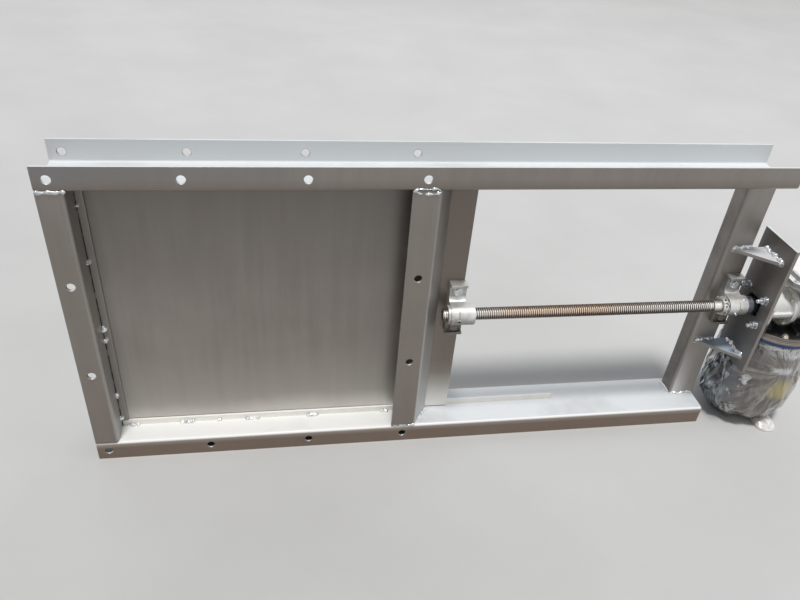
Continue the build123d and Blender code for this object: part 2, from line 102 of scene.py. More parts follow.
def make_camera():
    data = bpy.data.cameras.new("camera")
    data.sensor_width = SENSOR
    data.lens = FOCAL_PIXELS / FRAME_PIXELS * SENSOR
    data.clip_start, data.clip_end = 0.01, 200
    camera = add_object("camera", data)
    turn = Matrix((CAMERA_RIGHT, -CAMERA_DOWN, -CAMERA_FORWARD)).transposed()
    camera.matrix_world = Matrix.Translation(CAMERA_PLACE) @ turn.to_4x4()
    bpy.context.scene.camera = camera


# Node trees


class Value:
    """An output in a node tree; sums, products and spans of values add the nodes for them."""

    def __init__(self, tree, socket):
        self.tree, self.socket = tree, socket

    def __add__(self, other):
        return self.tree.math("ADD", self, other)

    def __sub__(self, other):
        return self.tree.math("SUBTRACT", self, other)

    def __rsub__(self, other):
        return self.tree.math("SUBTRACT", other, self)

    def __mul__(self, other):
        return self.tree.math("MULTIPLY", self, other)

    def __abs__(self):
        return self.tree.math("ABSOLUTE", self)

    def span(self, start, end):
        """0 before start, 1 after end, a straight run between."""
        return self.tree.add("MapRange", "Result", {"Value": self, "From Min": start, "From Max": end})


class Tree:
    """The node tree of a material or world."""

    def __init__(self, owner):
        owner.use_nodes = True
        self.tree = owner.node_tree

    def put(self, value, socket):
        """Links a value, or sets a number, a vector or a colour."""
        if isinstance(value, Value):
            self.tree.links.new(value.socket, socket)
        else:
            socket.default_value = (*value, 1) if socket.type == "RGBA" else value

    def add(self, kind, output, inputs=None, **settings):
        """Adds a node with its settings and inputs, and gives one of its outputs."""
        node = self.tree.nodes.new("ShaderNode" + kind)
        for key, setting in settings.items():
            setattr(node, key, setting)
        for key, value in (inputs or {}).items():
            self.put(value, node.inputs[key])
        return Value(self, node.outputs[output])

    def math(self, operation, *values):
        return self.add("Math", 0, dict(enumerate(values)), operation=operation)


class Surface(Tree):
    """A material's node tree, with short calls for the nodes that the surfaces share."""

    def __init__(self, name):
        self.mat = bpy.data.materials.new(name)
        super().__init__(self.mat)
        self.bsdf = self.tree.nodes["Principled BSDF"]
        self.place = self.add("TexCoord", "Object")
        self.normal = self.add("NewGeometry", "Normal")
        # The place in metres, and how squarely the surface looks each way, from -1 to 1
        self.x, self.y, self.z = self.parts(self.place)
        self.right, self.back, self.up = self.parts(self.normal)
        self.color = None

    def parts(self, vector):
        return [self.add("SeparateXYZ", letter, {0: vector}) for letter in "XYZ"]

    def mix(self, factor, first, second):
        return self.add("Mix", 2, {0: factor, 6: first, 7: second}, data_type="RGBA")

    def tint(self, tone, amount):
        """Lays a tone over the colour so far."""
        self.color = self.mix(amount, self.color, tone)

    def ramp(self, value, *stops):
        """A colour that runs with a value; each stop is a level and a colour."""
        node = self.tree.nodes.new("ShaderNodeValToRGB")
        self.put(value, node.inputs["Fac"])
        elements = node.color_ramp.elements
        while len(elements) < len(stops):
            elements.new(0.5)
        for element, (level, color) in zip(elements, stops):
            element.position = level
            element.color = (*color, 1)
        return Value(self, node.outputs["Color"])

    def mapped(self, scale):
        return self.add("Mapping", "Vector", {"Vector": self.place, "Scale": scale})

    def noise(self, scale, detail=4, rough=0.6, vector=None, distortion=0):
        inputs = {"Scale": scale, "Detail": detail, "Roughness": rough, "Distortion": distortion}
        return self.add("TexNoise", "Fac", {"Vector": vector or self.place, **inputs})

    def drawn(self, scale, detail, rough):
        """Noise with a scale of its own along each axis, for lines and runs."""
        return self.noise(1, detail, rough, self.mapped(scale))

    def pits(self, scale):
        inputs = {"Vector": self.place, "Scale": scale}
        return self.add("TexVoronoi", "Distance", inputs, feature="DISTANCE_TO_EDGE")

    def toward(self, way):
        """How squarely the surface looks along a way, from -1 to 1."""
        return self.add("VectorMath", "Value", {0: self.normal, 1: way}, operation="DOT_PRODUCT")

    def bevel(self, radius):
        """The normal with its edges rounded by a radius in millimetres."""
        return self.add("Bevel", "Normal", {"Radius": radius * MM}, samples=4)

    def edges(self, radius):
        """Near 1 along the sharp outer and inner edges, 0 elsewhere."""
        inputs = {0: self.bevel(radius), 1: self.normal}
        return self.add("VectorMath", "Value", inputs, operation="DOT_PRODUCT").span(0.995, 0.9)

    def distance(self, point, keep=(1, 1, 1)):
        """Distance in metres to a point in millimetres; keep says how far each axis counts."""
        inputs = {0: self.mapped(keep), 1: [c * k * MM for c, k in zip(point, keep)]}
        return self.add("VectorMath", "Value", inputs, operation="DISTANCE")

    def fan(self, point, turns, along):
        """Coordinates that spread out from a point, for creases that run away from it."""
        x, z = point[0] * MM - self.x, self.z - point[2] * MM
        reach = self.distance(point, (1, 0, 1))
        return self.add("CombineXYZ", 0, {0: self.math("ARCTAN2", z, x) * turns, 1: reach * along})

    def relief(self, *layers, soften=0):
        """Stacks bumps: each layer is a height, its depth in millimetres and its strength."""
        under = {"Normal": self.bevel(soften)} if soften else {}
        for height, depth, strength in layers:
            bump = {"Height": height, "Distance": depth * MM, "Strength": strength, **under}
            under = {"Normal": self.add("Bump", "Normal", bump)}
        self.put(under["Normal"], self.bsdf.inputs["Normal"])

    def finish(self, metallic, roughness, **extra):
        inputs = {"Base Color": self.color, "Metallic": metallic, "Roughness": roughness, **extra}
        for name, value in inputs.items():
            self.put(value, self.bsdf.inputs[name.replace("_", " ")])
        return self.mat


def faded(color, share):
    return tuple(min(1, c * share) for c in color)


# Materials

# The way toward which the castings and the screw get their painted highlight
FRONT_TOP = (0, -0.78, 0.63)
# Spans: of the normal's Y, then of heights in metres
SQUARE_FRONT = (-0.9, -0.985)
TOP_RAIL_EDGE = (INNER * MM - 0.0005, INNER * MM + 0.0005)
BOTTOM_RAIL_EDGE = tuple(-z for z in TOP_RAIL_EDGE)
LOWER_LUG = (-0.021, -0.029)
# Places along X and a height, in metres
COLLAR_GROOVES = (1.0576, 1.0826)
DRUM_RIM_MIDDLE = -0.0785
ROUND_Z = (1, 1, 0)
# Near-black for the painted shade deep in the actuator plate's hole
HOLE_SHADE_BLACK = (0.008, 0.008, 0.009)

YELLOW_PATCH = (1302, -43, -226)
GATHER = (1290, -41, -168)
# Painted highlights on the film's pale folds: centre, reach and how far each axis counts
PALE_FOLDS = (
    ((1216, -8, -210), 12, (1, 1, 0.8)),
    ((1216, -8, -320), 27, (1.2, 1.2, 0.9)),
    ((1194, 14, -335), 13, (1, 1, 1)),
    ((1252, -32, -104), 14, (0.3, 0.3, 1.6)),
    ((1288, -41, -112), 18, (0.3, 0.4, 1)),
    ((1284, -41, -165), 12, (0.42, 0.5, 1.1)),
)


def shade_gate(s, clouds):
    """The gate, all painted light and shade: dark under its top edge, pale near the foot, and where its tail
    stands in the open browner above and pale low down.
    """
    wavy = s.z + (clouds - 0.5) * 0.16
    # Painted light near the foot, as if bounced up from the bottom rail
    s.tint((0.64, 0.615, 0.58), wavy.span(-0.1, -0.31) * 0.52)
    s.tint((0.82, 0.8, 0.76), wavy.span(-0.235, -0.315) * 0.55)
    # Painted shade under the top rail
    s.tint((0.15, 0.135, 0.127), wavy.span(0.06, 0.31) * 0.64)
    tail = s.x.span(0.29, 0.35)
    # The tail: painted browner shade above, painted light low down
    s.tint((0.215, 0.178, 0.155), tail * s.z.span(-0.27, -0.16) * 0.8)
    s.tint((0.88, 0.87, 0.83), tail * s.z.span(-0.2, -0.31) * 0.8)


def shade_right_sides(s):
    """Sides that look to the right: dark high up, lit low down on the crossbar and the left rail."""
    right = s.right.span(0.5, 0.95)
    s.tint((0.09, 0.08, 0.075), right * s.z.span(0.02, 0.28) * 0.45)
    crossbar = right * s.x.span(0.2, 0.3) * s.z.span(0.16, -0.3)
    s.tint((0.62, 0.655, 0.67), crossbar * 0.75)
    rail = right * s.x.span(-0.28, -0.3) * s.z.span(0.06, -0.28)
    s.tint((0.4, 0.42, 0.42), rail * 0.5)


def shade_fronts(s):
    """Front flanges, painted light and shade: a painted brown reflection of the ground that grows downwards, a
    painted bluish reflection over painted brown shade on the top rail, and a painted highlight at the bottom
    rail's fold.
    """
    front = s.back.span(*SQUARE_FRONT) * s.y.span(0.01, 0.006)
    s.tint((0.205, 0.15, 0.118), front * s.z.span(0.75, -0.32) * 0.45)
    s.tint((0.195, 0.125, 0.082), front * s.z.span(*BOTTOM_RAIL_EDGE) * 0.5)
    top = front * s.z.span(*TOP_RAIL_EDGE)
    s.tint((0.24, 0.243, 0.255), top * s.z.span(0.322, 0.342) * s.x.span(0.25, -0.3) * 0.6)
    s.tint((0.17, 0.13, 0.108), top * s.z.span(0.342, 0.318) * 0.5)
    fold = front * s.z.span(-0.334, -0.318) * s.z.span(*BOTTOM_RAIL_EDGE)
    s.tint((0.66, 0.62, 0.575), fold * 0.55)


def shade_column(s):
    """The end column's face: a painted white highlight low down, beside its left edge."""
    left = COLUMN_LEFT * MM
    face = s.back.span(*SQUARE_FRONT) * s.y.span(0.05, 0.055)
    face = face * s.z.span(-0.15, -0.31) * s.z.span(-0.316, -0.3152)
    face = face * s.x.span(left + 0.045, left + 0.004) * s.x.span(left - 0.002, left)
    s.tint((0.92, 0.92, 0.91), face * 0.72)


def shade_left_sides(s):
    """Sides that look to the left get painted shade, and a painted bluish reflection on the actuator's plate low
    down.
    """
    away = s.right.span(-0.5, -0.95) * s.noise(7).span(0.15, 0.6)
    s.tint((0.11, 0.1, 0.095), away * 0.72)
    plate = away * s.x.span(1.15, 1.16) * s.z.span(0.02, -0.12)
    s.tint((0.17, 0.195, 0.225), plate * 0.55)


def soil_sheet(s):
    """Scuffs, dust low down and worn edges; gives the dust."""
    s.tint((0.2, 0.17, 0.145), s.noise(55, 6, 0.75, distortion=1.4).span(0.68, 0.76) * 0.35)
    dust = s.z.span(-0.318, -0.365) * s.noise(26, 6, 0.7).span(0.38, 0.72)
    s.tint((0.33, 0.24, 0.17), dust * 0.45)
    worn = s.edges(1.2) * s.noise(38, 5, 0.7).span(0.36, 0.56)
    s.tint((0.62, 0.59, 0.56), worn * 0.6)
    return dust


def whiten_tops(s, clouds):
    """Painted light on faces that look up and in the top rail's trough, a warm pool of it on the bottom web
    before the gate, and painted bluish shade on the lower gusset's top; gives where the light is painted.
    """
    # Painted light on faces that look up
    painted_light = s.up.span(0.25, 0.95) * clouds.span(0.1, 0.5)
    s.tint((0.75, 0.785, 0.82), painted_light * 0.8)
    # The sill: warm painted light, as if bounced from the gate onto the bottom web
    sill = painted_light * s.x.span(0.34, 0.3) * s.y.span(0.062, 0.058) * s.z.span(0, -0.3)
    s.tint((0.86, 0.85, 0.82), sill * 0.7)
    # The lower gusset's top: painted bluish shade
    gusset = painted_light * s.x.span(1.05, 1.07) * s.z.span(-0.15, -0.14) * s.z.span(0, -0.01)
    s.tint((0.3, 0.37, 0.46), gusset * 0.85)
    # The top rail's trough: painted light, as if bounced from its lit web
    trough = s.y.span(0.05, 0.06) * s.y.span(0.1225, 0.1215) * s.z.span(0.316, 0.322)
    s.tint((0.78, 0.81, 0.83), trough * 0.9)
    return s.math("MAXIMUM", painted_light, trough)


def shade_bends(s):
    """The rounded folds of the front flanges: a painted pale highlight where they look up or right, a painted
    brown reflection where they look down.
    """
    slope = abs(s.back)
    bend = slope.span(0.12, 0.4) * slope.span(0.97, 0.85) * s.y.span(0.005, 0.0042)
    right = bend * s.right.span(0.15, 0.45)
    right = right * s.z.span(0.4, -0.3) * s.x.span(-0.5, 0.1)
    s.tint((0.66, 0.66, 0.65), right * 0.6)
    s.tint((0.3, 0.21, 0.16), bend * s.up.span(-0.15, -0.45) * 0.6)
    s.tint((0.95, 0.945, 0.93), bend * s.up.span(0.12, 0.4) * 0.85)


def draw_joints(s):
    """Dark lines: the broken joint beside the left guide, and the one at the left rail's foot."""
    edge = -INNER * MM
    guide = abs(s.x - edge).span(0.0022, 0.0014)
    guide = guide * s.y.span(0.051, 0.052) * s.y.span(0.0565, 0.056)
    broken = s.drawn((0, 0, 26), 3, 0.6).span(0.36, 0.5)
    s.tint((0.035, 0.03, 0.027), guide * broken * 0.9)
    foot = abs(s.z - edge).span(0.002, 0.0012)
    foot = foot * s.x.span(-0.31, -0.314) * s.y.span(0.0045, 0.004)
    s.tint((0.045, 0.036, 0.03), foot * 0.9)


def sheet_paint(name, dark, light, roughness, gate=False, shade=True):
    """Sprayed aluminium paint on folded sheet: soft clouds, faint runs and fine flake, with painted light and
    shade laid over it by the parts it calls.
    """
    s = Surface(name)
    clouds = s.noise(3.2, 5)
    runs = s.drawn((45, 45, 3), 4, 0.6)
    flake = s.noise(1400, 2, 0.7)
    s.color = s.ramp(clouds * 0.62 + runs * 0.38, (0.34, dark), (0.68, light))
    if gate:
        shade_gate(s, clouds)
    if shade:
        for part in (shade_right_sides, shade_fronts, shade_column, shade_left_sides):
            part(s)
    s.tint(faded(light, 1.35), flake.span(0.56, 0.8))
    dust = soil_sheet(s)
    pale = whiten_tops(s, clouds)
    shade_bends(s)
    draw_joints(s)
    s.relief((s.noise(420, 3, 0.5), 0.1, 0.35), (flake, 0.03, 0.35), soften=0.9)
    rough = runs * 0.14 + (roughness - 0.07) + dust * 0.25 + pale * 0.36
    return s.finish(0.58 - pale * 0.48, rough)


def cast_paint(name, dark, light, grain, roughness=0.34, under=(0.1, 0.085, 0.07), lug=0, side=0):
    """Silver paint on a sand casting, pitted and grimy, with painted light above, painted shade below and a
    painted highlight on the edges; lug paints shade on the lower lug and turns the light into a highlight toward
    the front top, side paints shade on the upright faces.
    """
    s = Surface(name)
    lumps = s.noise(95, 5, 0.65)
    s.color = s.ramp(s.noise(24, 5, 0.65), (0.32, dark), (0.66, light))
    # Painted shade on faces that look down, in the colour under
    s.tint(under, s.up.span(-0.15, -0.75) * lumps.span(0.25, 0.6) * 0.85)
    # Painted light on faces that look up, or with lug a painted highlight toward the front top
    painted_light, white = s.up.span(0.05, 0.8), (0.84, 0.84, 0.83)
    dull, matt = 0.45, 0.38
    if lug:
        painted_light, white = s.toward(FRONT_TOP).span(0.74, 0.95), (0.95, 0.95, 0.93)
        dull, matt = 0.05, -0.15
    s.tint(white, painted_light * s.noise(34).span(0.2, 0.62) * 0.85)
    # More painted shade on faces that look down
    s.tint((0.24, 0.215, 0.19), s.up.span(0.15, -0.85) * lumps.span(0.2, 0.6) * 0.7)
    if side:
        # Painted shade on the upright faces
        s.tint((0.2, 0.198, 0.2), abs(s.up).span(0.55, 0.3) * side)
    if lug:
        # Painted shade on the lower lug and on the top of the bearing's upper lug
        s.tint((0.21, 0.172, 0.146), s.z.span(*LOWER_LUG) * lug)
        upper = s.z.span(0.024, 0.032) * s.x.span(1.08, 1.1) * s.up.span(0.8, 0.4)
        s.tint((0.2, 0.21, 0.23), upper * 0.6)
    s.tint((0.17, 0.14, 0.115), s.noise(140, 6, 0.8, distortion=0.8).span(0.62, 0.72) * 0.4)
    # Painted highlight along the edges
    s.tint((0.8, 0.8, 0.79), s.edges(1.6) * 0.4)
    s.relief((lumps, 0.55 * grain, 0.55), (s.pits(420), 0.12 * grain, 0.4), soften=1.6)
    return s.finish(0.45 - painted_light * matt, lumps * 0.22 + (roughness - 0.1) + painted_light * dull)


def actuator_case_paint():
    """The gear case: silver above with painted light where it looks up, dark low down, bare machined rim at the
    drum, painted highlights on the edges and painted black shade behind the plate's hole.
    """
    s = Surface("case_paint")
    behind = PLATE_RIGHT * MM
    lumps = s.noise(110, 5, 0.65)
    s.color = s.ramp(s.noise(20, 5), (0.32, (0.46, 0.455, 0.44)), (0.68, (0.6, 0.595, 0.58)))
    # Painted light on faces that look up
    s.tint((0.86, 0.87, 0.87), s.up.span(0.1, 0.8) * 0.75)
    dark = s.ramp(s.noise(60, 6, 0.7), (0.35, (0.022, 0.024, 0.024)), (0.7, (0.075, 0.078, 0.075)))
    s.tint(dark, (s.z + (lumps - 0.5) * 0.012).span(-0.016, -0.026))
    lines = s.drawn((3, 3, 900), 3, 0.6)
    rim = s.ramp(lines, (0.36, (0.15, 0.115, 0.095)), (0.6, (0.33, 0.29, 0.26)))
    s.tint(rim, s.z.span(-0.064, -0.0655) * s.distance(DRUM, ROUND_Z).span(0.1015, 0.1035))
    # Painted highlight along the edges
    s.tint((0.66, 0.65, 0.63), s.edges(1.2) * 0.45)
    # Painted black shade where the case sits behind the plate's hole
    plate_hole_shade = s.x.span(behind + 0.0015, behind + 0.0008)
    s.tint(HOLE_SHADE_BLACK, plate_hole_shade)
    s.relief((lumps, 0.35, 0.5), (lines, 0.05, 0.25), soften=1.2)
    return s.finish(0.55 - plate_hole_shade * 0.55, lumps * 0.2 + 0.25)


def plated(name, dark, light, roughness=0.24, lug=0):
    """Plated fasteners: slightly mottled, with painted light where they look up; lug paints shade on those on the
    lower lugs.
    """
    s = Surface(name)
    metallic = 0.8
    s.color = s.ramp(s.noise(60), (0.32, dark), (0.66, light))
    # Painted light on faces that look up
    s.tint((0.9, 0.91, 0.92), s.up.span(0, 0.8) * 0.6)
    dull = s.noise(260, 5, 0.7).span(0.6, 0.74)
    s.tint(faded(dark, 0.45), dull * 0.35)
    if lug:
        # Painted shade on the lower lugs, which also takes off some of the metal
        lug_shade = s.z.span(*LOWER_LUG) * lug
        s.tint((0.17, 0.145, 0.125), lug_shade)
        metallic = metallic - lug_shade * 0.75
    s.relief((s.noise(900, 3), 0.04, 0.3), soften=0.4)
    return s.finish(metallic, dull * 0.25 + roughness)


def screw_steel():
    """The drive screw: silver overspray near both ends, copper-brown rust between, a painted highlight toward the
    front top, painted shade below and black painted shade in the grooves.
    """
    s = Surface("screw_steel")
    lit = s.toward(FRONT_TOP)
    patchy = s.x + (s.noise(14) - 0.5) * 0.16
    rust = patchy.span(0.48, 0.58) * patchy.span(0.93, 0.76)
    silver = s.ramp(s.noise(40), (0.35, (0.58, 0.55, 0.52)), (0.65, (0.78, 0.75, 0.72)))
    brown = s.ramp(s.noise(60, 5, 0.7), (0.36, (0.44, 0.25, 0.155)), (0.62, (0.74, 0.49, 0.34)))
    s.color = s.mix(rust * 0.9, silver, brown)
    # Painted highlight on faces toward the front top
    s.tint(s.mix(rust, (1, 0.97, 0.92), (1, 0.8, 0.62)), lit.span(0.8, 0.95) * 0.92)
    # Painted shade on faces turned away from it
    s.tint((0.1, 0.068, 0.05), lit.span(0.96, 0.58) * 0.92)
    # Painted shade in the thread's and the collar's grooves, lighter where the highlight falls
    radius = s.distance(AXIS, (0, 1, 1))
    groove = radius.span(0.0129, 0.0122) * s.x.span(1.045, 1.042) * s.x.span(0.421, 0.424)
    for place in COLLAR_GROOVES:
        groove = s.math("MAXIMUM", groove, abs(s.x - place).span(0.0016, 0.0009))
    groove = groove * (0.93 - lit.span(0.7, 0.95) * 0.45)
    s.tint((0.025, 0.018, 0.015), groove)
    s.relief((s.noise(500, 3), 0.04, 0.4))
    return s.finish(0.55 - groove * 0.5, s.noise(240) * 0.16 + 0.2)


def turned_steel():
    """The bush: bright metal with fine turned lines."""
    s = Surface("turned_steel")
    dark = (0.32, 0.31, 0.29)
    lines = s.drawn((700, 60, 60), 4, 0.65)
    s.color = s.ramp(lines, (0.34, dark), (0.64, (0.62, 0.61, 0.58)))
    spots = s.noise(90, 6, 0.75).span(0.6, 0.72)
    s.tint(faded(dark, 0.4), spots * 0.5)
    s.relief((lines, 0.06, 0.35), soften=0.5)
    return s.finish(0.9, spots * 0.2 + 0.3)


def coupling_zinc():
    """The coupling sleeve: bluish zinc on its left end with painted light where it looks up, and painted black
    shade where it runs into the plate's hole.
    """
    s = Surface("coupling_zinc")
    s.color = s.ramp(s.noise(60), (0.32, (0.17, 0.21, 0.26)), (0.66, (0.36, 0.42, 0.5)))
    # Painted light on faces that look up
    s.tint((0.66, 0.71, 0.78), s.up.span(0, 0.8) * 0.5)
    s.tint((0.05, 0.06, 0.07), s.drawn((420, 0, 0), 2, 0.5).span(0.44, 0.34) * 0.7)
    # Painted black shade inside the plate's hole
    s.tint(HOLE_SHADE_BLACK, s.x.span(1.156, 1.16))
    s.relief((s.noise(600, 3), 0.05, 0.3), soften=0.6)
    return s.finish(s.x.span(1.16, 1.156), 0.36)


def rim_steel():
    """The drum's flange: painted dark shade in the recess inside, bare and brown at the rim, with a bright turned
    edge.
    """
    s = Surface("flange_steel")
    reach = s.distance(DRUM, ROUND_Z)
    lines = s.drawn((4, 4, 900), 4, 0.65)
    s.color = s.ramp(lines, (0.34, (0.15, 0.115, 0.095)), (0.64, (0.38, 0.33, 0.29)))
    # Painted shade in the recess inside the rim
    recess_shade = s.ramp(s.noise(40, 5, 0.7), (0.35, (0.012, 0.012, 0.013)), (0.65, (0.05, 0.052, 0.055)))
    s.tint(recess_shade, reach.span(0.1035, 0.1015))
    middle = abs(s.z - DRUM_RIM_MIDDLE).span(0.0011, 0.0006)
    s.tint((0.62, 0.6, 0.57), middle * reach.span(0.107, 0.1078) * 0.7)
    s.tint((0.8, 0.78, 0.75), s.edges(1) * reach.span(0.105, 0.1065) * 0.9)
    s.relief((lines, 0.06, 0.35), soften=0.5)
    return s.finish(0.8, s.noise(90, 6, 0.75).span(0.6, 0.72) * 0.2 + 0.32)


def gloss_paint(name, dark, light):
    s = Surface(name)
    s.color = s.ramp(s.noise(30, 5), (0.35, dark), (0.65, light))
    dust = s.noise(110, 5, 0.75).span(0.55, 0.75)
    s.tint((0.35, 0.33, 0.3), dust * 0.25)
    s.relief((s.noise(300, 3, 0.5), 0.06, 0.3), soften=0.8)
    return s.finish(0, dust * 0.3 + 0.22, Coat_Weight=0.4)


def weld_metal():
    """Stick weld under silver paint: glassy ripples, slag specks, blue-grey heat tint."""
    s = Surface("weld_metal")
    grey, pale, white = (0.5, 0.53, 0.56), (0.76, 0.78, 0.79), (0.95, 0.95, 0.945)
    s.color = s.ramp(s.noise(120), (0.34, grey), (0.5, pale), (0.64, white))
    slag = s.noise(330, 5, 0.75).span(0.6, 0.67)
    s.tint((0.06, 0.05, 0.045), slag * 0.8)
    s.relief((s.noise(420), 0.25, 0.6))
    return s.finish(0.55, slag * 0.3 + 0.2)


def shade_film_side(s, streaks):
    """The film's left side: painted bluish shade, a painted pale reflection on a flap low down and painted light
    on creases that look up.
    """
    leftward = s.x + s.y * -0.25
    left = leftward.span(1.225, 1.185)
    s.tint((0.085, 0.105, 0.13), left * 0.7)
    flap = leftward.span(1.19, 1.172) * s.z.span(-0.25, -0.272) * streaks.span(0.4, 0.52)
    s.tint((0.62, 0.71, 0.8), flap * 0.85)
    up = s.up + (s.noise(12, 2, 0.5) - 0.5) * 0.6
    s.tint((0.58, 0.62, 0.67), up.span(0.3, 0.46) * left * 0.8)


def whiten_folds(s):
    """The film's pale folds, painted highlights on faces that don't look down, ragged along the creases that run
    from where it is gathered.
    """
    chance = s.noise(1, 4, 0.65, s.fan(GATHER, 9, 22))
    pale = s.ramp(chance, (0.38, (0.4, 0.43, 0.46)), (0.56, (0.9, 0.91, 0.91)))
    lit = s.up.span(-0.7, -0.3)
    for place, size, keep in PALE_FOLDS:
        reach = size * MM
        near = s.distance(place, keep) + (chance - 0.5) * (reach * 3.6)
        s.tint(pale, near.span(reach, reach * 0.8) * lit * 0.88)


def film_skin():
    """Clear wrap over a dark drum: hazy body, creases and streaks, a yellow patch showing through."""
    s = Surface("film_skin")
    haze = s.noise(7, 3, 0.5, distortion=0.5)
    dark, mid, light = (0.085, 0.077, 0.07), (0.145, 0.132, 0.118), (0.22, 0.2, 0.175)
    s.color = s.ramp(haze, (0.32, dark), (0.5, mid), (0.66, light))
    creases = s.noise(1, 5, 0.62, s.fan(GATHER, 5, 7))
    s.tint((0.42, 0.385, 0.345), creases.span(0.5, 0.64) * 0.75)
    s.tint((0.045, 0.038, 0.033), creases.span(0.47, 0.36) * 0.75)
    belly = s.z.span(-0.235, -0.31) * s.x.span(1.235, 1.3)
    s.tint((0.4, 0.345, 0.285), belly * haze.span(0.3, 0.6) * 0.5)
    streaks = s.noise(26, 4, 0.6, s.mapped((1, 1, 0.22)), 0.4)
    s.tint((0.33, 0.32, 0.305), streaks.span(0.54, 0.66) * 0.45)
    s.tint((0.045, 0.042, 0.04), streaks.span(0.46, 0.36) * 0.55)
    shade_film_side(s, streaks)
    whiten_folds(s)
    near = s.distance(YELLOW_PATCH) + s.noise(40) * 0.03
    s.tint((0.6, 0.5, 0.18), near.span(0.056, 0.03) * 0.72)
    swells = s.noise(30, 4, 0.6, s.mapped((1, 1, 0.5)))
    s.relief((swells, 2, 0.4), (s.noise(160, 3), 0.12, 0.3))
    rough = haze * 0.12 + 0.06
    return s.finish(0.25, rough, Coat_Weight=1, Coat_Roughness=0.05, Specular_IOR_Level=0.8)


def ear_film():
    """The doubled corner of the wrap: milky, with grey creases."""
    s = Surface("ear_film")
    crease = s.noise(60, 5, 0.65, distortion=0.8)
    grey, milky, white = (0.36, 0.345, 0.32), (0.63, 0.61, 0.58), (0.74, 0.725, 0.7)
    s.color = s.ramp(crease, (0.34, grey), (0.46, milky), (0.62, white))
    s.relief((crease, 0.9, 0.5))
    return s.finish(0, 0.32, Coat_Weight=0.4, Coat_Roughness=0.15)


def floor_look():
    """Pale floor that throws a darker, browner light back onto the valve."""
    s = Surface("floor")
    s.color = s.ramp(s.noise(1.6, 5), (0.3, (0.5, 0.5, 0.495)), (0.7, (0.55, 0.55, 0.545)))
    s.tint((0.27, 0.235, 0.21), s.add("LightPath", "Is Diffuse Ray"))
    s.relief((s.noise(120), 0.15, 0.25))
    return s.finish(0, 0.7)


SILVER = sheet_paint("silver_paint", (0.3, 0.278, 0.258), (0.395, 0.37, 0.347), 0.4)
# A pale copy of the silver paint for the bottom guides: painted light for the lit trough they lie in
PALE = sheet_paint("pale_lit_paint", (0.78, 0.75, 0.69), (0.89, 0.865, 0.81), 0.4, shade=False)
GATE = sheet_paint("gate_paint", (0.285, 0.259, 0.237), (0.385, 0.353, 0.323), 0.38, gate=True)
CASTING = cast_paint("silver_casting", (0.34, 0.325, 0.3), (0.74, 0.73, 0.7), 2.6, lug=0.9)
SEAM = cast_paint("casting_seam", (0.14, 0.125, 0.11), (0.3, 0.28, 0.26), 1.3)
ACTUATOR = cast_paint(
    "actuator_paint", (0.64, 0.635, 0.62), (0.84, 0.835, 0.815), 0.5, 0.28, (0.035, 0.036, 0.036)
)
COVER = cast_paint("cover_paint", (0.6, 0.6, 0.59), (0.8, 0.8, 0.79), 0.5, 0.3, side=0.75)
CASE = actuator_case_paint()
ZINC = plated("zinc_plate", (0.46, 0.5, 0.54), (0.74, 0.78, 0.82))
FOOT_ZINC = plated("foot_zinc", (0.58, 0.6, 0.62), (0.84, 0.86, 0.87), lug=0.85)
HOLE_EDGE = plated("hole_edge", (0.13, 0.1, 0.085), (0.3, 0.26, 0.23), 0.34)
# Near-black for painted shade: the grease hole and the lock nut's dimples are black discs
BORE = gloss_paint("bore_dark", (0.006, 0.005, 0.005), (0.018, 0.016, 0.015))
YELLOW_ZINC = plated("yellow_zinc", (0.55, 0.5, 0.36), (0.86, 0.83, 0.68))
TURNED = turned_steel()
SCREW = screw_steel()
RIM = rim_steel()
SLEEVE = coupling_zinc()
BLUE = gloss_paint("blue_paint", (0.01, 0.028, 0.16), (0.022, 0.055, 0.27))
WELD = weld_metal()
FILM = film_skin()
EAR = ear_film()

NODE_LOOKS = {
    "gate_plate": GATE,
    "front_bottom_guide": PALE,
    "rear_bottom_guide": PALE,
    "nut_housing": CASTING,
    "bearing_housing": CASTING,
    "drive_nut": CASTING,
    "lock_nut": CASTING,
    "bearing_bush": TURNED,
    "coupling_sleeve": SLEEVE,
    "actuator_base_flange": CASE,
    "gear_case": CASE,
    "gear_case_cover": COVER,
    "actuator_neck": ACTUATOR,
    "case_end_cap": ACTUATOR,
    "drum_flange": RIM,
    "drum_collar": BLUE,
}


def dress_nodes():
    """Every node that stays gets its procedural material."""
    for name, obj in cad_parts.items():
        for slot in obj.material_slots:
            slot.material = NODE_LOOKS.get(name, SILVER)


# Mesh helpers


def axis_frame(place, axis):
    """Matrix whose local Z runs along axis from place."""
    along = Vector(axis).normalized()
    return Matrix.Translation(Vector(place)) @ along.to_track_quat("Z", "Y").to_matrix().to_4x4()


def polar(radius, angle):
    return radius * math.cos(angle), radius * math.sin(angle)


def circle(turn, radius, height, steps):
    """A ring of points about the local Z of a matrix."""
    return [turn @ Vector((*polar(radius, TURN * k / steps), height)) for k in range(steps)]


def waver(*at):
    """Smooth noise between about -1 and 1."""
    return noise.noise(Vector(at))


def bell(offset, reach):
    """1 in the middle, falling off smoothly over a reach to both sides."""
    return math.exp(-((offset / reach) ** 2))


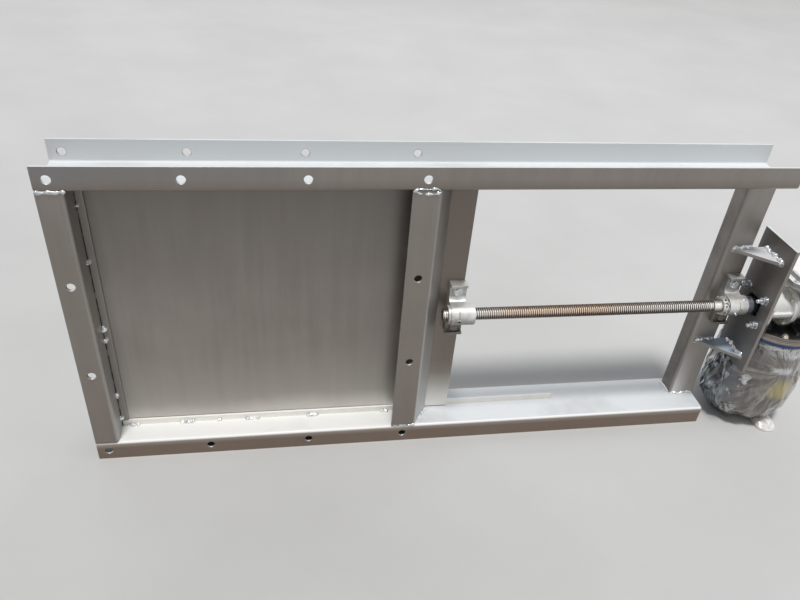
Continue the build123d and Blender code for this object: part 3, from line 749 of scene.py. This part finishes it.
class Shape:
    """Collects the rings and faces of one mesh, in millimetres."""

    def __init__(self):
        self.verts = []
        self.faces = []

    def rings(self, rings, ends=True):
        """Skins a list of rings that have the same number of points; ends closes the first and last."""
        count = len(rings[0])
        start = len(self.verts)
        for ring in rings:
            self.verts.extend(Vector(point) for point in ring)
        last = start + (len(rings) - 1) * count
        for a in range(start, last, count):
            b = a + count
            for k in range(count):
                j = (k + 1) % count
                self.faces.append((a + k, a + j, b + j, b + k))
        if ends:
            self.faces.append(tuple(range(start + count - 1, start - 1, -1)))
            self.faces.append(tuple(range(last, last + count)))

    def lathe(self, place, axis, profile, steps=40, hollow=False):
        """Turns (height, radius) pairs about an axis; hollow joins the last pair to the first."""
        turn = axis_frame(place, axis)
        rings = [circle(turn, radius, height, steps) for height, radius in profile]
        self.rings(rings + rings[:1] if hollow else rings, ends=not hollow)

    def make(self, name, look, body, slot, sharp=32):
        mesh = bpy.data.meshes.new(name)
        mesh.from_pydata([v * MM for v in self.verts], [], self.faces)
        mesh.validate()
        mesh.materials.append(look)
        mesh.shade_smooth()
        mesh.set_sharp_from_angle(angle=math.radians(sharp))
        obj = add_object(name, mesh)
        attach(obj, body)
        return obj


def add_nut(shape, place, axis, across, height, both_sides=False):
    """A hexagon standing on place, with its top, or both sides, turned off."""
    flat, steps = across / 2, 48
    rim = flat * 0.94
    turn = axis_frame(place, axis)
    rings = [], [], []
    for k in range(steps):
        angle = TURN * k / steps
        reach = flat / math.cos((angle + math.pi / 6) % (math.pi / 3) - math.pi / 6)
        drop = (reach - rim) * math.tan(math.radians(30))
        rows = (reach, drop if both_sides else 0), (reach, height - drop), (rim, height)
        for ring, (r, z) in zip(rings, rows):
            ring.append(turn @ Vector((*polar(r, angle), z)))
    shape.rings(rings)


def add_washer(shape, place, axis, inner, outer, thickness):
    round_off = 0.3
    profile = (
        (0, inner), (0, outer - round_off), (round_off, outer), (thickness - round_off, outer),
        (thickness, outer - round_off), (thickness, inner),
    )
    shape.lathe(place, axis, profile, hollow=True)


def add_thread(shape, place, axis, radius, depth, pitch, length, steps=20, tip=0.8, crest=0.38):
    """A right-hand thread cut into a rod: a sheared grid that follows the helix, trimmed at both ends."""
    turn = axis_frame(place, axis)
    root, slope, count = radius - depth, (1 - 2 * crest) / 2, steps + 1
    rows = (0, radius), (crest, radius), (crest + slope, root), (2 * crest + slope, root)
    levels = [(i + share, reach) for i in range(-1, int(length / pitch) + 2) for share, reach in rows]
    start = len(shape.verts)
    for level, reach in levels:
        for k in range(count):
            helix = pitch * (level + k / steps)
            z = min(max(helix, 0), length)
            r = reach if z == helix else root
            r = min(r, radius - tip + min(z, tip), radius - tip + min(length - z, tip))
            shape.verts.append(turn @ Vector((*polar(r, TURN * k / steps), z)))
    for i in range(len(levels) - 1):
        for k in range(steps):
            a = start + i * count + k
            quad = (a, a + 1, a + count + 1, a + count)
            if max((shape.verts[a] - shape.verts[q]).length for q in quad) > 1e-6:
                shape.faces.append(quad)
    for z in (0, length):
        center = len(shape.verts)
        shape.verts.append(turn @ Vector((0, 0, z)))
        shape.verts.extend(circle(turn, min(root, radius - tip), z, steps))
        for k in range(steps):
            pair = (center + 1 + k, center + 1 + (k + 1) % steps)
            shape.faces.append((center, *(pair if z else pair[::-1])))


def add_bead(shape, points, out, width, height, seed, pitch=3.6, lumpy=0.22):
    """A rippled weld bead along a path; out is the way it bulges."""
    path = [Vector(p) for p in points]
    lengths = [(b - a).length for a, b in zip(path, path[1:])]
    total = sum(lengths)
    count = max(6, int(total / 0.9))
    out = Vector(out).normalized()
    sides = 11
    rings = []
    for i in range(count + 1):
        s = total * i / count
        walk, leg = s, 0
        while leg < len(lengths) - 1 and walk > lengths[leg]:
            walk -= lengths[leg]
            leg += 1
        along = (path[leg + 1] - path[leg]).normalized()
        side = along.cross(out).normalized()
        center = path[leg] + along * min(walk, lengths[leg])
        center = center + side * waver(s * 0.07, seed, 9.7) * width * 0.35
        swell = 1 + lumpy * waver(s * 0.11, seed, 3.1) * 2
        swell *= min(1, 0.35 + math.sqrt(max(0, min(s, total - s)) / (width * 0.9)))
        ring = []
        for k in range(sides):
            angle = math.pi * (k / (sides - 1)) * 1.16 - math.pi * 0.08
            crescent = s + 0.9 * pitch * math.sin(angle)
            phase = (crescent / pitch + 0.25 * waver(s * 0.2, seed, 1)) % 1
            ripple = 0.84 + 0.16 * math.sqrt(1 - phase) + 0.07 * waver(s * 0.6, k * 0.5, seed)
            across = math.cos(angle) * width * 0.5 * swell
            up = math.sin(angle) * height * swell * ripple
            ring.append(center + side * across + out * up)
        rings.append(ring)
    shape.rings(rings)


# Screw, nuts and washers


def four_round_axis(offset):
    """Four places round the screw's axis, as far off along Y as along Z."""
    return [(AXIS_Y + y * offset, z * offset) for y in (-1, 1) for z in (-1, 1)]


def eight_round(center, radius):
    offsets = [polar(radius, TURN * (i + 0.5) / 8) for i in range(8)]
    return [(center.x + x, center.y + y) for x, y in offsets]


def make_screw():
    """The drive screw: trapezoidal thread, neck, collar and journal."""
    lead, radius, depth = 5, 14, 2.3
    journal, collar, bevel = 12.5, 16, 1
    collar_end = low("lock_nut").x
    thread_end = collar_end - 27
    collar_start = thread_end + 6
    profile = (
        (thread_end - 0.2, radius - depth), (collar_start, journal), (collar_start, collar - bevel),
        (collar_start + bevel, collar), (collar_end - bevel, collar), (collar_end, collar - bevel),
        (collar_end, journal), (high("bearing_bush").x, journal), (SCREW_END - bevel, journal),
        (SCREW_END, journal - bevel),
    )
    shape = Shape()
    length = thread_end - SCREW_START
    add_thread(shape, (SCREW_START, AXIS_Y, 0), RIGHT, radius, depth, lead, length, 36, 1.6, 0.37)
    shape.lathe(AXIS, RIGHT, profile, 48)
    screw = shape.make("threaded_screw", SCREW, "screw", "screw_steel", 40)
    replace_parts(screw, "drive_screw")


def make_tab_washer():
    """A star washer whose teeth are bent into the lock nut's slots."""
    x0, x1 = ends("tab_washer", 0)
    bore, valley, tooth_tip, bend = 12.6, 18.2, 22.8, 3
    teeth, steps = 11, 88
    shape = Shape()
    rings = []
    for x, inside in ((x0, True), (x0, False), (x1, False), (x1, True)):
        ring = []
        for k in range(steps):
            number, share = divmod(k * teeth / steps, 1)
            tooth = share < 0.5
            reach = bore if inside else tooth_tip if tooth else valley
            bent = bend if tooth and not inside and number % 3 == 0 else 0
            y, z = polar(reach, TURN * k / steps)
            ring.append((x - bent, AXIS_Y + y, z))
        rings.append(ring)
    shape.rings(rings + rings[:1], ends=False)
    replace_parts(shape.make("star_washer", CASTING, "screw", "zinc_plate", 25), "tab_washer")


def make_foot_bolts(node, body, back):
    """Hexagon bolts of one housing: head, washer, shank, nut and thread end."""
    head, across, washer = 7.5, 18, 1.8
    x, face = middle_of(node).x, low(node).y + head
    reach = high(node).z - 10.4
    shape = Shape()
    for z in (-reach, reach):
        add_washer(shape, (x, face, z), FRONTWARD, 6.2, 11.4, washer)
        add_nut(shape, (x, face - washer, z), FRONTWARD, across, head - 1.9)
        add_washer(shape, (x, back, z), REARWARD, 6.2, 12, washer)
        add_nut(shape, (x, back + washer, z), REARWARD, across, 9)
        add_thread(shape, (x, face, z), REARWARD, 6, 0.9, 1.75, high(node).y - face, 20)
    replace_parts(shape.make(node + "_detailed", FOOT_ZINC, body, "zinc_plate", 28), node)


def make_studs():
    """The four studs through the actuator's base flange, with nuts and two washers each."""
    x0, x1 = ends("mounting_studs", 0)
    end_cap = (0, 1.5), (0.4, 3.2), (1.6, 4.7), (3, 5), (3.4, 4.1)
    shape = Shape()
    for y, z in four_round_axis(35):
        add_thread(shape, (x0, y, z), RIGHT, 5, 0.8, 1.5, x1 - x0, 24, 1.6)
        shape.lathe((x0, y, z), RIGHT, end_cap, 24)
        add_washer(shape, (PLATE_LEFT, y, z), LEFT, 5.2, 10.2, 1.6)
        add_washer(shape, (PLATE_LEFT - 1.6, y, z), LEFT, 5.2, 8.6, 1.8)
        add_nut(shape, (PLATE_LEFT - 3.4, y, z), LEFT, 15.9, 7.4, True)
    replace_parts(shape.make("studs_and_nuts", ZINC, "frame", "zinc_plate", 28), "mounting_studs", "stud_nuts")


def make_m6_bolts():
    """Yellow-plated bolts of the neck's rim and of the end cap."""
    across, head, pitch_radius = 9.7, 4.5, 45
    rim, cap = Shape(), Shape()
    left, right = ends("neck_rim_bolts", 0)
    cap_left, cap_right = ends("end_cap_bolts", 0)
    for y, z in four_round_axis(pitch_radius * math.sqrt(0.5)):
        add_nut(rim, (left + head, y, z), LEFT, across, head)
        add_thread(rim, (left - 1, y, z), RIGHT, 3, 0.5, 1, right - left + 3, 16, 0.5)
        add_nut(rim, (right - head, y, z), RIGHT, across, head, True)
        add_nut(cap, (cap_right - head, y, z), RIGHT, across, head)
        add_thread(cap, (cap_left, y, z), RIGHT, 3, 0.5, 1, cap_right - cap_left - 5, 12, 0.5)
    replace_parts(rim.make("rim_bolts", YELLOW_ZINC, "frame", "yellow_zinc", 28), "neck_rim_bolts")
    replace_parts(cap.make("cap_bolts", YELLOW_ZINC, "frame", "yellow_zinc", 28), "end_cap_bolts")


def make_cover_screws():
    """Socket screws of the gear case's cover, on washers."""
    top = high("cover_bolts").z
    seat = top - 4
    head = (seat + 1, 4.6), (top - 0.5, 4.8), (top, 4.3), (top, 2.6), (top - 2.4, 2.4), (top - 2.6, 0.2)
    cover = Shape()
    for x, y in eight_round(middle_of("gear_case_cover"), 72):
        add_washer(cover, (x, y, seat), UP, 3.2, 6.3, 1.1)
        cover.lathe((x, y, 0), UP, head, 30)
    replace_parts(cover.make("cover_screws", ZINC, "frame", "yellow_zinc", 30), "cover_bolts")


def make_drum_bolts():
    """Yellow-plated bolts of the drum's flange."""
    bottom, top = ends("drum_flange_bolts", 2)
    head, washer = 4.3, 1.2
    drum = Shape()
    for x, y in eight_round(DRUM, 99):
        add_washer(drum, (x, y, top - head - washer), UP, 4.1, 8, washer)
        add_nut(drum, (x, y, top - head), UP, 12.1, head)
        add_thread(drum, (x, y, bottom), UP, 4, 0.6, 1.25, top - bottom + 2, 14, 0.6)
    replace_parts(drum.make("drum_bolts", YELLOW_ZINC, "frame", "yellow_zinc", 28), "drum_flange_bolts")


def make_hole_lips():
    """The rolled lips that punching left in the flange holes."""
    line, inner = INNER + 25, 8.6
    stations = (line, line / 3, -line / 3, -line)
    places = [(x, z) for z in (line, -line) for x in stations]
    places += [(x, z) for x in (line, -line) for z in stations[1:3]]
    profile = (
        (0, inner), (SHEET - 0.5, inner), (SHEET - 0.05, inner + 0.4), (SHEET - 0.02, inner + 0.7),
        (SHEET - 0.6, inner + 0.8), (0, inner + 0.5),
    )
    shape = Shape()
    for x, z in places:
        shape.lathe((x, FRONT + SHEET, z), FRONTWARD, profile, hollow=True)
        shape.lathe((x, REAR - SHEET, z), REARWARD, profile, hollow=True)
    shape.make("hole_lips", HOLE_EDGE, "frame", "silver_paint", 50)


def around_axis(x, radius, degrees):
    """A place on a cylinder about the screw's axis and its outward way; 0 degrees looks to the front."""
    angle = math.radians(degrees)
    out = Vector((0, -math.cos(angle), math.sin(angle)))
    return Vector((x, AXIS_Y, 0)) + out * radius, out


def add_boss(shape, where, profile, steps):
    """A small turned form that stands out from the screw's axis; where is its place along, out and round it."""
    shape.lathe(*around_axis(*where), profile, steps)


def make_seam(node, body, offset):
    """The parting line of one housing's barrel, from above the front round below to the rear."""
    start, steps = low(node).x, 48
    rings = []
    for k in range(steps + 1):
        angle = math.radians(-30 - 268 * k / steps)
        x = start + offset + 0.8 * waver(k * 0.4, start, 0)
        ring = []
        for dx, lift in ((-1.5, -0.3), (-0.8, 0.35), (0.8, 0.35), (1.5, -0.3)):
            reach = HOUSING_RADIUS + lift
            ring.append((x + dx, AXIS_Y + reach * math.sin(angle), reach * math.cos(angle)))
        rings.append(ring)
    seam = Shape()
    seam.rings(rings)
    seam.make(node + "_seam", SEAM, body, "silver_casting", 40)


def make_grease_hole():
    """The open grease hole in the nut's housing, with its raised lip; the hole itself is a black disc of painted
    shade.
    """
    lip, bore = Shape(), Shape()
    where = low("nut_housing").x + 17.7, HOUSING_RADIUS, -11
    add_boss(lip, where, ((-1, 5.7), (0.5, 5.4), (0.9, 4.6), (0.4, 3.4)), 28)
    add_boss(bore, where, ((0, 3.6), (0.65, 3.6), (0.7, 3)), 24)
    lip.make("grease_hole_lip", CASTING, "gate", "silver_casting", 40)
    bore.make("grease_hole", BORE, "gate", "silver_casting", 40)


def make_grease_nipple():
    """The bearing housing's grease nipple with its hexagon, a small plug above it and a filled hole."""
    start, size = low("bearing_housing").x, 0.85
    ball = (
        (2.8, 2.4), (4.4, 2.2), (5.2, 1.6), (5.8, 1.6), (6.6, 2.5), (7.6, 2.6), (8.3, 2), (8.6, 0.9), (8.4, 0.1)
    )
    nipple, plug = Shape(), Shape()
    at, out = around_axis(start + 16, HOUSING_RADIUS - 0.6, -16)
    add_nut(nipple, at, out, 7 * size, 3 * size)
    nipple.lathe(at, out, [(height * size, radius * size) for height, radius in ball], 20)
    where = start + 37, HOUSING_RADIUS - 0.3, 64
    add_boss(nipple, where, ((0, 2.6), (0.7, 2.5), (1.5, 1.9), (1.9, 0.8)), 18)
    add_boss(plug, (start + 29, HOUSING_RADIUS, 6), ((-0.4, 2.6), (0.3, 2.4), (0.35, 1.6)), 20)
    nipple.make("grease_nipple", ZINC, "frame", "zinc_plate", 30)
    plug.make("casting_plug", SEAM, "frame", "silver_casting", 40)


def make_lock_nut_details():
    """Drilled dimples round the lock nut, drawn as black discs of painted shade, and the knobs of the bent washer
    teeth.
    """
    start, end = ends("lock_nut", 0)
    radius = (high("lock_nut").z - low("lock_nut").z) / 2
    dimple, knob = Shape(), Shape()
    for k in range(8):
        turned = 27 + 45 * k
        where = (start + end) / 2 + 0.6, radius - 0.15, turned
        add_boss(dimple, where, ((-0.3, 2.5), (0.3, 2.3), (0.35, 1.5)), 18)
        for x in (start + 1.6, end - 1.2) if k % 2 else ():
            where = x, radius - 0.4, turned - 20
            add_boss(knob, where, ((0, 2.5), (1.2, 2.4), (2.2, 1.6), (2.5, 0.7)), 16)
    dimple.make("lock_nut_dimples", BORE, "screw", "zinc_plate", 40)
    knob.make("washer_knobs", CASTING, "screw", "zinc_plate", 40)


# Welds


def level(start, end, y, z):
    """A run along X."""
    return [(start, y, z), (end, y, z)]


CROSSBAR_FACE = 56
# Tacks up the left guide: height, length and width; tacks along the other guides: place and length
LEFT_TACKS = (
    (262, 8, 11), (139, 9, 17), (-29, 15, 17), (-60, 13, 13), (-220, 17, 19),
    (-290, 12, 13),
)
LEVEL_TACKS = (-291, 30), (-168, 36), (-95, 10), (-18, 36), (125, 30), (301, 22)


def make_frame_welds():
    """Beads of the left rail and the crossbars: those in front as photographed, plainer ones behind."""
    left = low("left_rail").x
    bar, tip = ends("front_crossbar", 0)
    end, foot = bar + CROSSBAR_FACE, 1 - INNER
    beads = Shape()
    add_bead(beads, [(left + 1, 1, INNER), (left + 53, 1.2, INNER)], (0, -1, -0.35), 8.5, 3.4, 2, 3.6, 0.5)
    for sign in (1, -1):
        run = level(left + 3, left + 43, REAR - 1.2, sign * INNER)
        add_bead(beads, run, (0, 1, -0.35 * sign), 8, 2.6, 3 * sign + 1)
    upper = [
        (bar + 1, 0.5, INNER + 0.5), (bar + 8, -0.2, INNER + 4.5), (end - 10, -0.2, INNER + 5.5),
        (end - 1, 0.3, INNER + 2.5),
    ]
    lower = [
        (bar, 0.8, INNER + 0.5), (bar + 13, 0.8, INNER - 5), (end - 15, 0.8, INNER - 6), (end, 0.8, INNER - 0.5)
    ]
    add_bead(beads, upper, FRONTWARD, 3.6, 1.9, 11, 2.2, 0.95)
    add_bead(beads, lower, FRONTWARD, 4.8, 2.4, 17, 2.4, 0.85)
    add_bead(beads, level(bar + 2, end - 18, 1, foot), (0, -1, 0.3), 5, 1.6, 12)
    add_bead(beads, [(end - 16, 1, foot), (end + 2, 2, foot)], (0, -1, 0.3), 8, 3.4, 13)
    slant = [(end - 1, 6, foot + 0.5), (tip + 1, GATE_FRONT - 6, foot + 0.5)]
    add_bead(beads, slant, (0.7, -0.4, 0.6), 8, 4.2, 14, 3.4, 0.4)
    for z in (-foot, foot):
        add_bead(beads, level(bar + 1, end - 1, REAR - 1, z), REARWARD, 7, 2.6, 15 + z)
    beads.make("frame_welds", WELD, "frame", "silver_paint", 50)


def make_column_welds():
    """Beads round the end column's feet and along the gussets of the actuator's plate."""
    front, back = GATE_FRONT, high("end_column").y
    left, right = COLUMN_LEFT + 3, COLUMN_RIGHT - 1
    shape = Shape()
    for up in (-1, 1):
        z, side_x = -up * (INNER - 1.2), COLUMN_LEFT + 0.5
        runs = (
            (level(left, right, front + 0.5, z), (0, -0.75), 8, 4, 21, 0.3),
            ([(side_x, front + 4, z), (side_x, back - 4, z)], (-0.75, 0), 7, 3.6, 23, 0.22),
            (level(left, right, back - 0.5, z), (0, 0.75), 7, 3.6, 25, 0.22),
        )
        for run, out, width, height, seed, lumpy in runs:
            add_bead(shape, run, (*out, up * 0.65), width, height, -up * seed, 3.6, lumpy)
    for node in ("upper_gusset", "lower_gusset"):
        start, tip = low(node).x, low(node).y
        for face, up, gain in ((high(node).z, 1, 1), (low(node).z, -1, 0.7)):
            z, x = face + up * 0.6, PLATE_LEFT - 0.8
            run = level(start + 3, COLUMN_RIGHT, front - 0.8, z)
            add_bead(shape, run, (0, -0.7, up * 0.7), 12 * gain, 5 * gain, face, 4.6, 0.55)
            run = [(x, front - 2, z), (x, tip + 4, z)]
            add_bead(shape, run, (-0.7, 0, up * 0.7), 13 * gain, 5.6 * gain, face + 5, 4.6, 0.55)
    shape.make("column_and_gusset_welds", WELD, "frame", "silver_paint", 50)


def make_guide_tacks():
    """Short tacks along the corner of each guide and the rail it lies on."""
    sides = (low("front_left_guide").y - 1.2, -1), (high("rear_left_guide").y + 1.2, 1)
    corner = INNER - 1
    shape = Shape()
    for i, (z, length, width) in enumerate(LEFT_TACKS):
        for y, way in sides:
            run = [(-corner, y, z - length / 2), (-corner, y, z + length / 2)]
            add_bead(shape, run, (0.7, way * 0.7, 0), width, width * 0.48, i + 0.3 * way, 3.2, 0.5)
    for sign in (1, -1):
        z = sign * corner
        for i, (x, length) in enumerate(LEVEL_TACKS):
            for y, way in sides:
                run = level(x - length / 2, x + length / 2, y, z)
                add_bead(shape, run, (0, way * 0.7, -sign * 0.7), 9, 5.2, i + 40 * sign + way, 3.2, 0.5)
    shape.make("guide_tacks", WELD, "frame", "silver_paint", 50)


# Film wrap

# Levels down the drum, as a share of its height, and the film's radius there
FILM_STATIONS = (
    (0, 102), (0.05, 103), (0.16, 104.5), (0.3, 107), (0.46, 110), (0.62, 111), (0.77, 107),
    (0.89, 95), (0.96, 82), (1, 66),
)
FILM_POINTS = 30


def crumple(points, faces, rng, rounds, share, wild_until):
    """Splits triangles and pushes each edge middle off by a share of its length, less right of wild_until."""
    for _ in range(rounds):
        middles = {}
        finer = []

        def middle(a, b):
            key = (min(a, b), max(a, b))
            if key not in middles:
                length = (points[b] - points[a]).length
                calm = 1 - 0.6 * min(1, max(0, (points[a].x - wild_until) / 50))
                push = Vector(rng.normal(size=3)) * length * share * calm
                points.append((points[a] + points[b]) / 2 + push)
                middles[key] = len(points) - 1
            return middles[key]

        for a, b, c in faces:
            ab, bc, ca = middle(a, b), middle(b, c), middle(c, a)
            finer += [(a, ab, ca), (ab, b, bc), (ca, bc, c), (ab, bc, ca)]
        faces = finer
        share *= 0.72
    return faces


def film_point(rng, center, top, bottom, row, k):
    """One point of the loose bag, which hangs out in a flap on the left and bubbles at the front."""
    level, radius = FILM_STATIONS[row]
    loose = min(1, level / 0.16)
    angle = TURN * (k + 0.5 * (row % 2) + loose * rng.normal() * 0.16) / FILM_POINTS
    from_left = (angle - math.pi * 1.06 + math.pi) % TURN - math.pi
    flap = bell(from_left, 0.62) * bell(level - 0.74, 0.2)
    wild = 0.42 + 0.75 * flap
    slack = min(max(1 + 4.6 * wild * rng.normal(), -8), 6)
    bubble = bell(angle - math.pi * 1.5, 0.3) * bell(level - 0.25, 0.1)
    reach = radius - 2.5 + slack * loose + 24 * flap + 4 * bubble if row else radius
    z = top + (bottom - top) * level + (loose * rng.normal() * 4 if 0 < level < 1 else 0)
    x, y = polar(reach, angle)
    return Vector((center.x + x, center.y + y, z))


def make_film():
    """The drum under its film: a loose bag of flat, sharply creased facets."""
    rng = np.random.default_rng(21)
    center, top, bottom = middle_of("wrapped_drum"), high("wrapped_drum").z, FLOOR + 1.5
    rows = range(len(FILM_STATIONS))
    points = [film_point(rng, center, top, bottom, row, k) for row in rows for k in range(FILM_POINTS)]
    faces = []
    for row in rows[:-1]:
        a, b = row * FILM_POINTS, (row + 1) * FILM_POINTS
        for k in range(FILM_POINTS):
            j = (k + 1) % FILM_POINTS
            if row % 2 == 0:
                faces += [(a + k, b + k, a + j), (a + j, b + k, b + j)]
            else:
                faces += [(a + k, b + k, b + j), (a + k, b + j, a + j)]
    faces = crumple(points, faces, rng, 3, 0.05, 1215)
    beside_plate = low("mount_plate").z - 8
    shape = Shape()
    for x, y, z in points:
        if z > beside_plate:
            x = max(x, PLATE_RIGHT + 2.5 + 0.05 * (x - PLATE_RIGHT))
        shape.verts.append(Vector((x, y, min(max(z, FLOOR + 0.6), top))))
    shape.faces = [(a, c, b) for a, b, c in faces]
    film = shape.make("film_wrap", FILM, "frame", "film", 9)
    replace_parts(film, "wrapped_drum")


def make_film_ear():
    """The loose corner of the bag, a double layer folded over on the floor."""
    low_c, high_c = low("film_tail"), high("film_tail")
    cx = (low_c.x + high_c.x) / 2
    wide, deep = (high_c.x - low_c.x) * 0.94, (high_c.y - low_c.y) * 0.96
    columns, rows = 36, 30
    rings = []
    for j in range(rows):
        v = j / (rows - 1)
        y = high_c.y - 1 - deep * v
        waist = 0.8 + 0.2 * math.sin(math.pi * (0.2 + 0.8 * v))
        half = wide / 2 * waist * math.sqrt(max(0, 1 - max(0, v - 0.72) ** 2 / 0.085))
        rise = (high_c.z - FLOOR - 3) * (1 - v) ** 1.3 + 7 * math.sin(math.pi * v) + 1.6
        ring = []
        for k in range(columns):
            a = TURN * k / columns
            x, lift = cx + half * math.cos(a), max(0, math.sin(a))
            crease = 1.4 * waver(x * 0.09, y * 0.12, 2) + 0.8 * waver(x * 0.24, y * 0.2, 5)
            fold = crease * min(1, rise / 6) if lift > 0.2 else 0
            ring.append((x, y, max(FLOOR + 0.2, FLOOR + 0.4 + rise * lift ** 0.7 + fold)))
        rings.append(ring)
    shape = Shape()
    shape.rings(rings)
    ear = shape.make("film_ear", EAR, "frame", "film", 24)
    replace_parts(ear, "film_tail")


# Floor and light


def make_floor():
    mesh = bpy.data.meshes.new("floor")
    size, z = 40, FLOOR * MM
    mesh.from_pydata([(-size, -size, z), (size, -size, z), (size, size, z), (-size, size, z)], [], [(0, 1, 2, 3)])
    mesh.materials.append(floor_look())
    floor = add_object("floor", mesh)


def make_light(name, kind, power, color, way, place=(0, 0, 0), **settings):
    """A light that shines along a way; settings go to its data."""
    data = bpy.data.lights.new(name, kind)
    data.energy, data.color = power, color
    for key, setting in settings.items():
        setattr(data, key, setting)
    lamp = add_object(name, data)
    lamp.location = place
    lamp.rotation_mode = "QUATERNION"
    lamp.rotation_quaternion = Vector(way).to_track_quat("-Z", "Y")
    return lamp


def make_area_light(name, place, target, size, power, color):
    """A rectangle of light that the camera doesn't see."""
    way = Vector(target) - Vector(place)
    sizes = {"shape": "RECTANGLE", "size": size[0], "size_y": size[1]}
    make_light(name, "AREA", power, color, way, place, **sizes).visible_camera = False


def make_world():
    """A dim sky for what lights the valve, and a pale one for what is seen and mirrored."""
    world = bpy.data.worlds.new("studio")
    sky = Tree(world)
    fill = sky.add("Background", 0, {"Color": (0.92, 0.96, 1), "Strength": 0.3})
    backdrop = sky.add("Background", 0, {"Color": (0.78, 0.8, 0.82), "Strength": 1})
    seen = sky.add("LightPath", "Is Camera Ray")
    for ray in ("Is Glossy Ray", "Is Transmission Ray"):
        seen = sky.math("MAXIMUM", seen, sky.add("LightPath", ray))
    mix = sky.add("MixShader", 0, {0: seen, 1: fill, 2: backdrop})
    sky.put(mix, sky.tree.nodes["World Output"].inputs["Surface"])
    bpy.context.scene.world = world


def make_lighting():
    make_world()
    make_light("sun", "SUN", 2.3, (1, 0.985, 0.96), (0.06, 0.2, -1), angle=math.radians(9))
    make_area_light("back_light", (0.45, 3.4, 3.1), (0.45, 0, 0), (7, 4.4), 50, (0.94, 0.97, 1))
    make_area_light("side_light", (3.8, -0.6, 1.6), (0.8, 0.1, 0), (2.4, 2.4), 24, (0.96, 0.98, 1))
    bpy.context.scene.view_settings.view_transform = "Standard"


dress_nodes()
make_screw()
make_tab_washer()
make_foot_bolts("nut_foot_bolts", "gate", GATE_REAR)
make_foot_bolts("bearing_foot_bolts", "frame", GATE_FRONT + SHEET)
make_studs()
make_m6_bolts()
make_cover_screws()
make_drum_bolts()
make_hole_lips()
make_seam("nut_housing", "gate", 18)
make_seam("bearing_housing", "frame", 25)
make_grease_hole()
make_grease_nipple()
make_lock_nut_details()
make_frame_welds()
make_column_welds()
make_guide_tacks()
make_film()
make_film_ear()
make_floor()
make_lighting()
make_camera()
